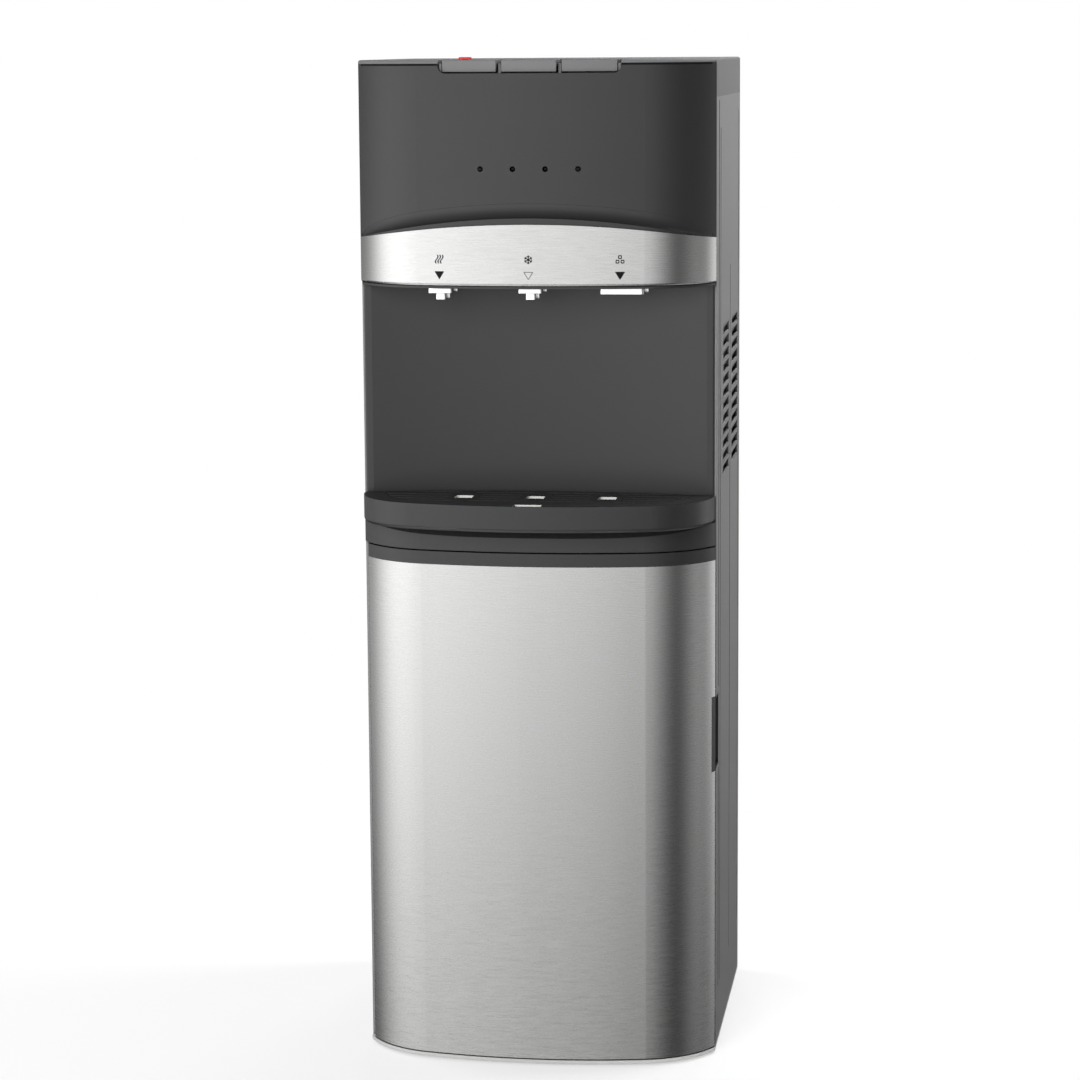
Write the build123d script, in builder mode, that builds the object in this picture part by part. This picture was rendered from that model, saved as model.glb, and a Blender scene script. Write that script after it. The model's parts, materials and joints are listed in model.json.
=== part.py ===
from build123d import *
import os
from math import radians, sin, sqrt

# Bottom-loading water dispenser with an ice maker. Millimetres, +Z up, front towards -Y,
# origin at the middle of the footprint on the floor.

# Overall sizes
width = 380.0
side_depth = 320.0
tray_bulge = 105.0
door_bulge = 72.0
head_bulge = 66.0
band_bulge = 74.0

# Heights stacked up from the floor
foot_height = 3.0
base_thickness = 4.0
door_gap = 1.5
door_height = 551.0
trim_height = 25.0
tray_height = 28.0
alcove_height = 224.0
plate_thickness = 2.5
band_height = 48.0
head_height = 182.0
cover_thickness = 4.0
cover_skirt = 40.0

# Bowed front outline shared by base, door, trim, band and head
bow_radius = 580.0
bow_blend = 120.0
tray_radius = 450.0
tray_blend = 130.0
edge_flat = 5.0

# Walls and clearances
sheet = 2.0
wall = 2.5
skin = 1.5
flange = 9.0
seat_gap = 0.3
slide_gap = 0.4
run_gap = 0.05
rear_recess = 12.0

# Derived reference planes
half = width / 2
depth = side_depth + tray_bulge
front = tray_bulge - depth / 2
back = depth / 2
base_top = foot_height + base_thickness
door_bottom = base_top + door_gap
door_top = door_bottom + door_height
trim_bottom = door_top + door_gap
trim_top = trim_bottom + trim_height
tray_bottom = trim_top + seat_gap
tray_top = tray_bottom + tray_height
plate_bottom = tray_top + alcove_height
band_bottom = plate_bottom + plate_thickness
band_end_top = band_bottom + band_height
cover_bottom = band_end_top + head_height
top = cover_bottom + cover_thickness
seam = top - cover_skirt
inner_half = half - sheet
panel_back = back - rear_recess
back_inside = panel_back - sheet
service_gap = 29.0
partition_y = back_inside - service_gap
shelf_low = trim_bottom
shelf_high = shelf_low + sheet

os.makedirs("parts", exist_ok=True)


def save(piece, name):
    """Label a finished piece and write its file."""
    piece.part.label = name
    export_step(piece.part, "parts/" + name + ".step")


def bow_sketch(half_width, bulge, back_y, inset=0.0):
    """Plan outline with a bowed front and straight sides that run back to back_y."""
    radius = bow_radius - inset
    blend = bow_blend - inset
    apex = front - bulge + inset
    end = front - edge_flat
    reach = half_width - inset
    centre = apex + radius
    blend_y = centre - sqrt(radius**2 - blend**2)
    with BuildSketch() as plan:
        with BuildLine():
            ThreePointArc((-blend, blend_y), (0, apex), (blend, blend_y))
            TangentArc((blend, blend_y), (reach, end), tangent=(centre - blend_y, blend))
            TangentArc((-blend, blend_y), (-reach, end), tangent=(blend_y - centre, blend))
            Polyline((reach, end), (reach, back_y), (-reach, back_y), (-reach, end))
        make_face()
    return plan.sketch


def below_arch(rise):
    """Front-view region under an arch that springs from the two ends of the band."""
    reach = half + sheet
    with BuildSketch() as view:
        with BuildLine():
            ThreePointArc((-half, band_end_top), (0, band_end_top + rise), (half, band_end_top))
            Polyline(
                (half, band_end_top),
                (reach, band_end_top),
                (reach, plate_bottom),
                (-reach, plate_bottom),
                (-reach, band_end_top),
                (-half, band_end_top),
            )
        make_face()
    return view.sketch


def tube(points, radii, outer, bore):
    """Bent tube along straight runs joined by tangent arcs."""
    with BuildLine() as path:
        FilletPolyline(*points, radius=radii)
    with BuildPart() as bent:
        with BuildSketch(Plane(origin=path.line @ 0, z_dir=path.line % 0)):
            Circle(outer)
            Circle(bore, mode=Mode.SUBTRACT)
        sweep(path=path.line)
    return bent.part


# Door outline and its hinge axis at the left rear corner
door_half = half - 0.5
door_back = front - 1.0
hinge_round = 9.0
pin_radius = 3.0


def corner_arc(half_width, bulge):
    """Centre and radius of the arc that closes the right end of a bowed outline."""
    centre = front - bulge + bow_radius
    blend_y = centre - sqrt(bow_radius**2 - bow_blend**2)
    along = half_width - bow_blend
    across = front - edge_flat - blend_y
    normal_x = -bow_blend / bow_radius
    normal_y = (centre - blend_y) / bow_radius
    radius = (along**2 + across**2) / (2 * (normal_x * along + normal_y * across))
    return bow_blend + normal_x * radius, blend_y + normal_y * radius, radius


corner_x, corner_y, corner_radius = corner_arc(door_half, door_bulge)
hinge_y = door_back - hinge_round
hinge_x = -corner_x - sqrt((corner_radius - hinge_round) ** 2 - (hinge_y - corner_y) ** 2)
hinge_drop = hinge_round * (corner_y - hinge_y) / (corner_radius - hinge_round)

# Base with a raised bottle seat inside a half-round guide
guide_radius = 139.0
guide_height = 8.0
guide_wall = 3.0
guide_clear = 2.0
seat_radius = guide_radius - guide_wall - guide_clear
seat_height = 1.0
bottle_y = partition_y - guide_radius - guide_clear
with BuildPart() as base:
    with BuildSketch(Plane.XY.offset(foot_height)):
        add(bow_sketch(half, door_bulge, back))
    extrude(amount=base_thickness)
    with BuildSketch(Plane.XY.offset(base_top)):
        with Locations((0, bottle_y)):
            Circle(guide_radius)
            Circle(guide_radius - guide_wall, mode=Mode.SUBTRACT)
            with Locations((0, -guide_radius)):
                Rectangle(2 * guide_radius, guide_radius, mode=Mode.SUBTRACT)
    extrude(amount=guide_height)
    with BuildSketch(Plane.XY.offset(base_top)):
        with Locations((0, bottle_y)):
            Circle(seat_radius)
    extrude(amount=seat_height)
    with BuildSketch(Plane.XY.offset(foot_height)):
        with Locations((hinge_x, hinge_y)):
            Circle(pin_radius)
    extrude(amount=base_thickness, mode=Mode.SUBTRACT)
save(base, "base")

# Four low feet, the front pair under the bowed part
foot_radius = 14.0
front_foot_x = half - 55.0
front_foot_y = front - 15.0
rear_foot_x = half - 40.0
rear_foot_y = back - 45.0
with BuildPart() as feet:
    with BuildSketch():
        with Locations((-front_foot_x, front_foot_y), (front_foot_x, front_foot_y)):
            Circle(foot_radius)
        with Locations((-rear_foot_x, rear_foot_y), (rear_foot_x, rear_foot_y)):
            Circle(foot_radius)
    extrude(amount=foot_height)
save(feet, "feet")

# Side panel before its finger cut-out: folded front edge, sheet with beads and louvres behind a fine joint
edge_reach = 32.0
joint_gap = 0.4
bead_width = 5.0
bead_depth = 1.3
bead_start = 59.0
bead_low = base_top + bead_start
beads = ((54.0, seam - 33.0), (184.0, plate_bottom + 10.0), (side_depth - 17.0, seam - 18.0))
louvre_columns = ((90.0, 165.0), (side_depth - 113.0, side_depth - 29.0))
louvre_count = 12
louvre_pitch = 13.9
louvre_top = plate_bottom - 51.0
louvre_height = 10.0
louvre_push = 4.3
slat = 1.2
with BuildPart() as plain_side:
    with BuildSketch(Plane.XY.offset(base_top)):
        with Locations((half, front)):
            Rectangle(sheet, side_depth, align=(Align.MAX, Align.MIN))
            Rectangle(flange, sheet, align=(Align.MAX, Align.MIN))
        with Locations((half, back - rear_recess)):
            Rectangle(flange, sheet, align=(Align.MAX, Align.MIN))
        with Locations((half, front + edge_reach)):
            Rectangle(sheet, joint_gap, align=(Align.MAX, Align.MIN), mode=Mode.SUBTRACT)
    extrude(amount=seam - base_top)
    for bead_y, bead_high in beads:
        with BuildSketch(Plane.YZ.offset(half)):
            with Locations((front + bead_y, (bead_low + bead_high) / 2)):
                SlotOverall(bead_high - bead_low, bead_width, rotation=90)
        extrude(amount=-bead_depth, mode=Mode.SUBTRACT)
    for start, end in louvre_columns:
        for row in range(louvre_count):
            high = louvre_top - row * louvre_pitch
            low = high - louvre_height
            with BuildSketch(Plane.YZ.offset(inner_half)):
                with Locations((front + start, low)):
                    Rectangle(end - start, louvre_height, align=Align.MIN)
            extrude(amount=sheet, mode=Mode.SUBTRACT)
            with BuildSketch(Plane.XZ.offset(-front - start)):
                with BuildLine():
                    Polyline(
                        (half, high),
                        (half - louvre_push - slat, low),
                        (half - louvre_push - 2 * slat, low),
                        (half - 2 * slat, high + slat),
                        (half - slat, high + slat),
                        close=True,
                    )
                make_face()
            extrude(amount=start - end)

with BuildPart() as side_panel_left:
    add(mirror(plain_side.part, about=Plane.YZ))
save(side_panel_left, "side_panel_left")

# Right side panel and the finger cup set into its front edge
cup_rise = 307.5
cup_height = 80.0
cup_low = door_bottom + cup_rise
cup_high = cup_low + cup_height
cup_depth = 16.0
cup_wall = 2.0
with BuildPart() as side_panel_right:
    add(plain_side.part)
    with BuildSketch(Plane.XY.offset(cup_low)):
        with Locations((half, front)):
            Rectangle(flange, edge_reach, align=(Align.MAX, Align.MIN))
    extrude(amount=cup_high - cup_low, mode=Mode.SUBTRACT)
save(side_panel_right, "side_panel_right")

with BuildPart() as finger_cup:
    with BuildSketch(Plane.XY.offset(cup_low)):
        with Locations((half, front)):
            Rectangle(cup_depth, edge_reach, align=(Align.MAX, Align.MIN))
    extrude(amount=cup_high - cup_low)
    with BuildSketch(Plane.XY.offset(cup_low + cup_wall)):
        with Locations((half, front)):
            Rectangle(cup_depth - cup_wall, edge_reach - cup_wall, align=(Align.MAX, Align.MIN))
    extrude(amount=cup_high - cup_low - 2 * cup_wall, mode=Mode.SUBTRACT)
save(finger_cup, "finger_cup")

# Top cover: bowed plate, skirt on three sides, notch for the keys
notch_half = 96.0
notch_corner = 8.0
notch_depth = 10.0
key_back = front - 22.0
cover_round = 2.5
with BuildPart() as top_cover:
    with BuildSketch(Plane.XY.offset(seam)):
        with Locations((0, front)):
            Rectangle(width, side_depth, align=(Align.CENTER, Align.MIN))
            Rectangle(
                width - 2 * wall,
                side_depth - wall,
                align=(Align.CENTER, Align.MIN),
                mode=Mode.SUBTRACT,
            )
    extrude(amount=cover_bottom - seam)
    with BuildSketch(Plane.XY.offset(cover_bottom)):
        add(bow_sketch(half, head_bulge, back))
    extrude(amount=cover_thickness)
    fillet(faces().sort_by(Axis.Z)[-1].edges(), radius=cover_round)
    with BuildSketch(Plane.XY.offset(cover_bottom)):
        with Locations((0, key_back + slide_gap)):
            Rectangle(2 * notch_half, depth, align=(Align.CENTER, Align.MAX))
    extrude(amount=cover_thickness, mode=Mode.SUBTRACT)
save(top_cover, "top_cover")

# Head panel: bowed shell over an arched foot with a sloped lip
band_rise = 16.5
lip_rise = 23.0
lamp_pitch = 34.2
lamp_count = 4
lamp_z = band_end_top + 73.5
lamp_hole = 2.9
with BuildPart() as head_lip:
    with BuildSketch(Plane.XY.offset(band_bottom)):
        add(bow_sketch(half, band_bulge - 1.0, front))
        add(bow_sketch(half, head_bulge, front, inset=wall), mode=Mode.SUBTRACT)
    extrude(amount=band_height + lip_rise)
    with BuildSketch(Plane.XZ):
        add(below_arch(band_rise))
    extrude(amount=depth, both=True, mode=Mode.SUBTRACT)
    with BuildSketch(Plane.XZ):
        add(below_arch(lip_rise))
    extrude(amount=depth, both=True, mode=Mode.INTERSECT)

with BuildPart() as head_panel:
    with BuildSketch(Plane.XY.offset(plate_bottom)):
        add(bow_sketch(half, head_bulge, front))
        add(bow_sketch(half, head_bulge, front, inset=wall), mode=Mode.SUBTRACT)
    extrude(amount=cover_bottom - plate_bottom)
    with BuildSketch(Plane.XZ):
        add(below_arch(lip_rise))
    extrude(amount=depth, both=True, mode=Mode.SUBTRACT)
    with BuildSketch(Plane.XZ):
        with Locations((0, cover_bottom - notch_depth)):
            Rectangle(2 * notch_half, 2 * notch_depth, align=(Align.CENTER, Align.MIN))
        fillet(vertices().group_by(Axis.Y)[0], radius=notch_corner)
    extrude(amount=depth, both=True, mode=Mode.SUBTRACT)
    with BuildSketch(Plane.XZ):
        with Locations((0, lamp_z)):
            with GridLocations(lamp_pitch, 0, lamp_count, 1):
                Circle(lamp_hole)
    extrude(amount=depth, both=True, mode=Mode.SUBTRACT)
    add(head_lip.part)
save(head_panel, "head_panel")

# Arched steel band
band_wall = 4.0
band_round = 3.0
with BuildPart() as steel_band:
    with BuildSketch(Plane.XY.offset(band_bottom)):
        add(bow_sketch(half, band_bulge, front))
    extrude(amount=band_height + band_rise)
    fillet(faces().sort_by(Axis.Z)[0].edges().sort_by(Axis.Y)[:3], radius=band_round)
    with BuildSketch(Plane.XY.offset(band_bottom)):
        add(bow_sketch(half, band_bulge, front, inset=band_wall))
    extrude(amount=band_height + band_rise, mode=Mode.SUBTRACT)
    with BuildSketch(Plane.XZ):
        add(below_arch(band_rise))
    extrude(amount=depth, both=True, mode=Mode.INTERSECT)
save(steel_band, "steel_band")

# Outlet plate under the band, with its three passages
outlet_pitch = half / 2
spout_y = front - 50.0
spout_bore = 4.0
ice_y = front - 36.0
ice_length = 38.0
ice_depth = 24.0
plate_back = front + 24.0
with BuildPart() as spout_plate:
    with BuildSketch(Plane.XY.offset(plate_bottom)):
        add(bow_sketch(half - 1.0, band_bulge - 1.0, front))
        with Locations((0, front)):
            Rectangle(2 * (half - flange), plate_back - front, align=(Align.CENTER, Align.MIN))
        with Locations((-outlet_pitch, spout_y), (0, spout_y)):
            Circle(spout_bore, mode=Mode.SUBTRACT)
        with Locations((outlet_pitch, ice_y)):
            Rectangle(ice_length, ice_depth, mode=Mode.SUBTRACT)
    extrude(amount=plate_thickness)
save(spout_plate, "spout_plate")

# Water spouts and ice outlet
collar_width = 25.0
collar_depth = 27.0
collar_height = 5.0
nozzle_width = 10.5
nozzle_depth = 18.0
nozzle_height = 7.0
nozzle_bore = 3.0
spout_round = 2.0
mouth_wall = 4.0
mouth_height = 6.5
mouth_round = 3.0
spout_places = [(-outlet_pitch, spout_y), (0, spout_y)]
with BuildPart() as water_spouts:
    with BuildSketch(Plane.XY.offset(plate_bottom - collar_height)):
        with Locations(*spout_places):
            RectangleRounded(collar_width, collar_depth, spout_round)
    extrude(amount=collar_height)
    with BuildSketch(Plane.XY.offset(plate_bottom - collar_height)):
        with Locations(*spout_places):
            RectangleRounded(nozzle_width, nozzle_depth, spout_round)
    extrude(amount=-nozzle_height)
    with BuildSketch(Plane.XY.offset(plate_bottom)):
        with Locations(*spout_places):
            Circle(spout_bore)
    extrude(amount=plate_thickness)
    with BuildSketch(Plane.XY.offset(band_bottom)):
        with Locations(*spout_places):
            Circle(nozzle_bore)
    extrude(amount=-collar_height - nozzle_height - plate_thickness, mode=Mode.SUBTRACT)
save(water_spouts, "water_spouts")

with BuildPart() as ice_outlet:
    with BuildSketch(Plane.XY.offset(plate_bottom - mouth_height)):
        with Locations((outlet_pitch, ice_y)):
            RectangleRounded(ice_length + 2 * mouth_wall, ice_depth + 2 * mouth_wall, mouth_round)
            Rectangle(ice_length, ice_depth, mode=Mode.SUBTRACT)
    extrude(amount=mouth_height)
save(ice_outlet, "ice_outlet")

# Hollow alcove panel with flat tabs on the side flanges
tab_half = half - 2.0
hollow_half = half - 10.0
hollow_depth = 20.0
tab_round = 2.0
with BuildPart() as alcove_panel:
    with BuildSketch(Plane.XY.offset(trim_top)):
        with BuildLine():
            Line((-tab_half, front - wall), (-hollow_half, front - wall))
            ThreePointArc(
                (-hollow_half, front - wall),
                (0, front - wall + hollow_depth),
                (hollow_half, front - wall),
            )
            Polyline(
                (hollow_half, front - wall),
                (tab_half, front - wall),
                (tab_half, front),
                (hollow_half, front),
            )
            ThreePointArc((hollow_half, front), (0, front + hollow_depth), (-hollow_half, front))
            Polyline((-hollow_half, front), (-tab_half, front), (-tab_half, front - wall))
        make_face()
    extrude(amount=plate_bottom - trim_top)
    rims = edges().filter_by(Axis.Z).group_by(Axis.Y)[0].sort_by(Axis.X)
    fillet([rims[0], rims[-1]], radius=tab_round)
save(alcove_panel, "alcove_panel")

# Middle trim: bowed skirt, shelf for the tray, boss for the upper hinge pin
boss_radius = 8.0
with BuildPart() as mid_trim:
    with BuildSketch(Plane.XY.offset(trim_bottom)):
        add(bow_sketch(half - 0.5, door_bulge, front))
        add(bow_sketch(half - 0.5, door_bulge, front, inset=wall), mode=Mode.SUBTRACT)
        with Locations((hinge_x, hinge_y)):
            Circle(boss_radius)
    extrude(amount=trim_height - wall)
    with BuildSketch(Plane.XY.offset(trim_top - wall)):
        add(bow_sketch(half - 0.5, door_bulge, front))
        with Locations((0, front)):
            Rectangle(2 * (half - flange), plate_back - front, align=(Align.CENTER, Align.MIN))
    extrude(amount=wall)
    with BuildSketch(Plane.XY.offset(trim_bottom)):
        with Locations((hinge_x, hinge_y)):
            Circle(pin_radius)
    extrude(amount=trim_height - wall, mode=Mode.SUBTRACT)
save(mid_trim, "mid_trim")


def tray_sketch(inset):
    """Drip-tray outline: bowed front, back edge that follows the hollow alcove."""
    reach = half - 1.5 - inset
    corner = hollow_half - inset
    bow = tray_radius - inset
    blend = tray_blend - inset
    apex = front - tray_bulge + inset
    end = front - wall - slide_gap - inset
    centre = apex + bow
    blend_y = centre - sqrt(bow**2 - blend**2)
    with BuildSketch() as plan:
        with BuildLine():
            ThreePointArc((-blend, blend_y), (0, apex), (blend, blend_y))
            TangentArc((blend, blend_y), (reach, end), tangent=(centre - blend_y, blend))
            TangentArc((-blend, blend_y), (-reach, end), tangent=(blend_y - centre, blend))
            Line((reach, end), (corner, end))
            ThreePointArc((corner, end), (0, end + hollow_depth), (-corner, end))
            Line((-corner, end), (-reach, end))
        make_face()
    return plan.sketch


# Drip tray with a ledge for its grid
ledge = 3.0
grid_thickness = 3.0
tray_round = 4.0
with BuildPart() as drip_tray:
    with BuildSketch(Plane.XY.offset(tray_bottom)):
        add(tray_sketch(0))
    extrude(amount=tray_height)
    fillet(faces().sort_by(Axis.Z)[0].edges().sort_by(Axis.Y)[:3], radius=tray_round)
    with BuildSketch(Plane.XY.offset(tray_bottom + wall)):
        add(tray_sketch(wall + ledge))
    extrude(amount=tray_height, mode=Mode.SUBTRACT)
    with BuildSketch(Plane.XY.offset(tray_top - grid_thickness)):
        add(tray_sketch(wall))
    extrude(amount=grid_thickness, mode=Mode.SUBTRACT)
save(drip_tray, "drip_tray")

# Drip grid: rows of slots, three square openings, finger notch
slot_width = 6.0
slot_rows = ((2.0, 22.0), (-16.0, 25.0), (-32.0, 30.0), (-48.0, 40.0), (-63.0, 56.0))
slot_gap = 11.0
grid_hole_pitch = 77.0
grid_hole_width = 20.0
grid_hole_depth = 26.0
grid_hole_round = 5.0
grid_hole_row = -33.0
notch_width = 30.0
notch_reach = 16.0
grid_bottom = tray_top - grid_thickness
with BuildPart() as drip_grid:
    with BuildSketch(Plane.XY.offset(grid_bottom)):
        add(tray_sketch(wall + slide_gap))
        for slot_y, slot_inset in slot_rows:
            inner_end = slot_gap / 2
            if abs(slot_y - grid_hole_row) < grid_hole_depth:
                inner_end = slot_gap / 2 + grid_hole_width / 2
            spans = [
                (inner_end, grid_hole_pitch - inner_end),
                (grid_hole_pitch + inner_end, half - slot_inset),
            ]
            for low, high in spans:
                for side in (-1, 1):
                    with Locations((side * (low + high) / 2, front + slot_y)):
                        SlotOverall(high - low, slot_width, mode=Mode.SUBTRACT)
        with Locations((0, front + grid_hole_row)):
            with GridLocations(grid_hole_pitch, 0, 3, 1):
                RectangleRounded(grid_hole_width, grid_hole_depth, grid_hole_round, mode=Mode.SUBTRACT)
        with Locations((0, front - tray_bulge + wall + slide_gap)):
            Rectangle(notch_width, 2 * notch_reach, mode=Mode.SUBTRACT)
    extrude(amount=grid_thickness)
save(drip_grid, "drip_grid")

# Door: steel skin with turned-in edges, liner, caps, grip insert
cap_height = 14.0
skin_top = door_top - cap_height
turn_in = 14.0
grip_low = cup_low - 1.0
grip_high = cup_high + 1.0
grip_width = 7.0
grip_depth = 10.0
cap_wall = 3.0


def door_sketch(inset):
    """Door outline, rounded about the hinge axis at its left rear corner."""
    with BuildSketch() as plan:
        add(bow_sketch(door_half, door_bulge, door_back - inset, inset=inset))
        with Locations((hinge_x, hinge_y - hinge_drop)):
            Rectangle(2 * hinge_round, 2 * hinge_round, align=(Align.MAX, Align.MIN), mode=Mode.SUBTRACT)
        with Locations((hinge_x, hinge_y)):
            Circle(hinge_round - inset)
    return plan.sketch


with BuildPart() as door_skin:
    with BuildSketch(Plane.XY.offset(door_bottom)):
        add(door_sketch(0))
        add(door_sketch(skin), mode=Mode.SUBTRACT)
        with Locations((0, door_back)):
            Rectangle(2 * (door_half - hinge_round - turn_in), 2 * skin, mode=Mode.SUBTRACT)
    extrude(amount=skin_top - door_bottom)
    with BuildSketch(Plane.XY.offset(grip_low)):
        with Locations((door_half, door_back)):
            Rectangle(2 * grip_width, 2 * grip_depth, mode=Mode.ADD)
    extrude(amount=grip_high - grip_low, mode=Mode.SUBTRACT)
save(door_skin, "door_skin")

with BuildPart() as door_grip:
    with BuildSketch(Plane.XY.offset(grip_low)):
        add(door_sketch(0))
        with Locations((door_half, door_back)):
            Rectangle(2 * grip_width, 2 * grip_depth, mode=Mode.INTERSECT)
    extrude(amount=grip_high - grip_low)
save(door_grip, "door_grip")

liner_half = door_half - hinge_round - 5.0
liner_wall = 2.5
rib_depth = 12.0
with BuildPart() as door_liner:
    with BuildSketch(Plane.XY.offset(door_bottom + cap_height)):
        with Locations((0, door_back - skin)):
            Rectangle(2 * liner_half, liner_wall, align=(Align.CENTER, Align.MAX))
            with GridLocations(liner_half / 2, 0, 4, 1):
                Rectangle(liner_wall, liner_wall + rib_depth, align=(Align.CENTER, Align.MAX))
    extrude(amount=skin_top - door_bottom - cap_height)
save(door_liner, "door_liner")

with BuildPart() as door_top_cap:
    with BuildSketch(Plane.XY.offset(skin_top)):
        add(door_sketch(0))
    extrude(amount=cap_height)
    with BuildSketch(Plane.XY.offset(skin_top)):
        add(door_sketch(cap_wall))
        with Locations((hinge_x, hinge_y)):
            Circle(boss_radius - 1.0, mode=Mode.SUBTRACT)
    extrude(amount=cap_height - cap_wall, mode=Mode.SUBTRACT)
    with BuildSketch(Plane.XY.offset(skin_top)):
        with Locations((hinge_x, hinge_y)):
            Circle(pin_radius + run_gap)
    extrude(amount=cap_height, mode=Mode.SUBTRACT)
save(door_top_cap, "door_top_cap")

with BuildPart() as door_bottom_cap:
    with BuildSketch(Plane.XY.offset(door_bottom)):
        add(door_sketch(skin))
    extrude(amount=cap_height)
    with BuildSketch(Plane.XY.offset(door_bottom + cap_wall)):
        add(door_sketch(skin + cap_wall))
        with Locations((hinge_x, hinge_y)):
            Circle(boss_radius - 2.0, mode=Mode.SUBTRACT)
    extrude(amount=cap_height, mode=Mode.SUBTRACT)
    with BuildSketch(Plane.XY.offset(door_bottom)):
        with Locations((hinge_x, hinge_y)):
            Circle(pin_radius + run_gap)
    extrude(amount=cap_height, mode=Mode.SUBTRACT)
save(door_bottom_cap, "door_bottom_cap")

# Hinge pins: the lower one carries the door on a thrust washer
washer_radius = 6.5
with BuildPart() as hinge_pins:
    with BuildSketch(Plane.XY.offset(foot_height)):
        with Locations((hinge_x, hinge_y)):
            Circle(pin_radius)
    extrude(amount=door_bottom + cap_height - 1.0 - foot_height)
    with BuildSketch(Plane.XY.offset(base_top)):
        with Locations((hinge_x, hinge_y)):
            Circle(washer_radius)
    extrude(amount=door_gap - seat_gap)
    with BuildSketch(Plane.XY.offset(skin_top + 1.0)):
        with Locations((hinge_x, hinge_y)):
            Circle(pin_radius)
    extrude(amount=trim_top - wall - skin_top - 1.0)
save(hinge_pins, "hinge_pins")

# Magnet catch: it pulls through the door's turned-in edge on the steel front flange
catch_z = skin_top - 55.0
catch_inset = 4.5
catch_width = 8.0
catch_depth = 5.0
catch_height = 40.0
with BuildPart() as door_magnet:
    with BuildSketch(Plane.XY.offset(catch_z - catch_height / 2)):
        with Locations((door_half - catch_inset, door_back - skin)):
            Rectangle(catch_width, catch_depth, align=Align.MAX)
    extrude(amount=catch_height)
save(door_magnet, "door_magnet")

# Keys: three hollow caps that rock on one rod
key_pitch = 63.0
key_width = 57.0
key_bulge = head_bulge - wall - 1.0
key_height = 12.5
key_wall = 2.5
key_round = 1.0
key_angle = 4.0
key_bottom = top - key_height
pivot_y = key_back - 4.0
pivot_z = key_bottom + 4.0
pivot_radius = 1.5
plunger_arm = 18.0
plunger_size = 4.0
plunger_offset = 4.0
lock_offset = 5.0
lock_x = -key_pitch - lock_offset
lock_y = front - 50.5
lock_width = 12.5
lock_length = 8.0
lock_height = 2.4
lock_travel = 6.0
stem_width = 5.0
stem_length = 4.0
for key_name, key_x in (("hot_key", -key_pitch), ("cold_key", 0.0), ("ice_key", key_pitch)):
    with BuildPart() as key:
        with BuildSketch(Plane.XY.offset(key_bottom)):
            add(bow_sketch(half, key_bulge, front))
            with Locations((key_x, key_back)):
                Rectangle(key_width, depth, align=(Align.CENTER, Align.MAX), mode=Mode.INTERSECT)
        extrude(amount=key_height)
        fillet(faces().sort_by(Axis.Z)[-1].edges(), radius=key_round)
        with BuildSketch(Plane.XY.offset(key_bottom)):
            add(bow_sketch(half, key_bulge, front, inset=key_wall))
            with Locations((key_x, key_back - 8.0)):
                Rectangle(
                    key_width - 2 * key_wall,
                    depth,
                    align=(Align.CENTER, Align.MAX),
                    mode=Mode.INTERSECT,
                )
        extrude(amount=key_height - key_wall, mode=Mode.SUBTRACT)
        with BuildSketch(Plane.XY.offset(key_bottom)):
            with Locations((key_x + plunger_offset, pivot_y - plunger_arm)):
                Rectangle(plunger_size, plunger_size)
        extrude(amount=key_height - key_wall)
        with BuildSketch(Plane.YZ.offset(key_x - key_width)):
            with Locations((pivot_y, pivot_z)):
                Circle(pivot_radius + run_gap)
        extrude(amount=2 * key_width, mode=Mode.SUBTRACT)
        if key_name == "hot_key":
            with BuildSketch(Plane.XY.offset(top - key_wall)):
                with Locations((lock_x, lock_y - stem_length / 2 - slide_gap)):
                    Rectangle(
                        stem_width + 2 * slide_gap,
                        stem_length + lock_travel + 2 * slide_gap,
                        align=(Align.CENTER, Align.MIN),
                    )
            extrude(amount=key_wall, mode=Mode.SUBTRACT)
    save(key, key_name)

# Child lock: slider that straddles the top wall of the hot key
with BuildPart() as child_lock:
    with BuildSketch(Plane.XY.offset(top + seat_gap)):
        with Locations((lock_x, lock_y)):
            Rectangle(lock_width, lock_length)
    extrude(amount=lock_height)
    fillet(faces().sort_by(Axis.Z)[-1].edges(), radius=key_round)
    with BuildSketch(Plane.XY.offset(top - key_wall - seat_gap)):
        with Locations((lock_x, lock_y)):
            Rectangle(stem_width, stem_length)
    extrude(amount=key_wall + 2 * seat_gap)
    with BuildSketch(Plane.XY.offset(top - key_wall - seat_gap)):
        with Locations((lock_x, lock_y)):
            Rectangle(stem_width + 4.0, lock_length - 1.0)
    extrude(amount=-1.2)
save(child_lock, "child_lock")

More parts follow.
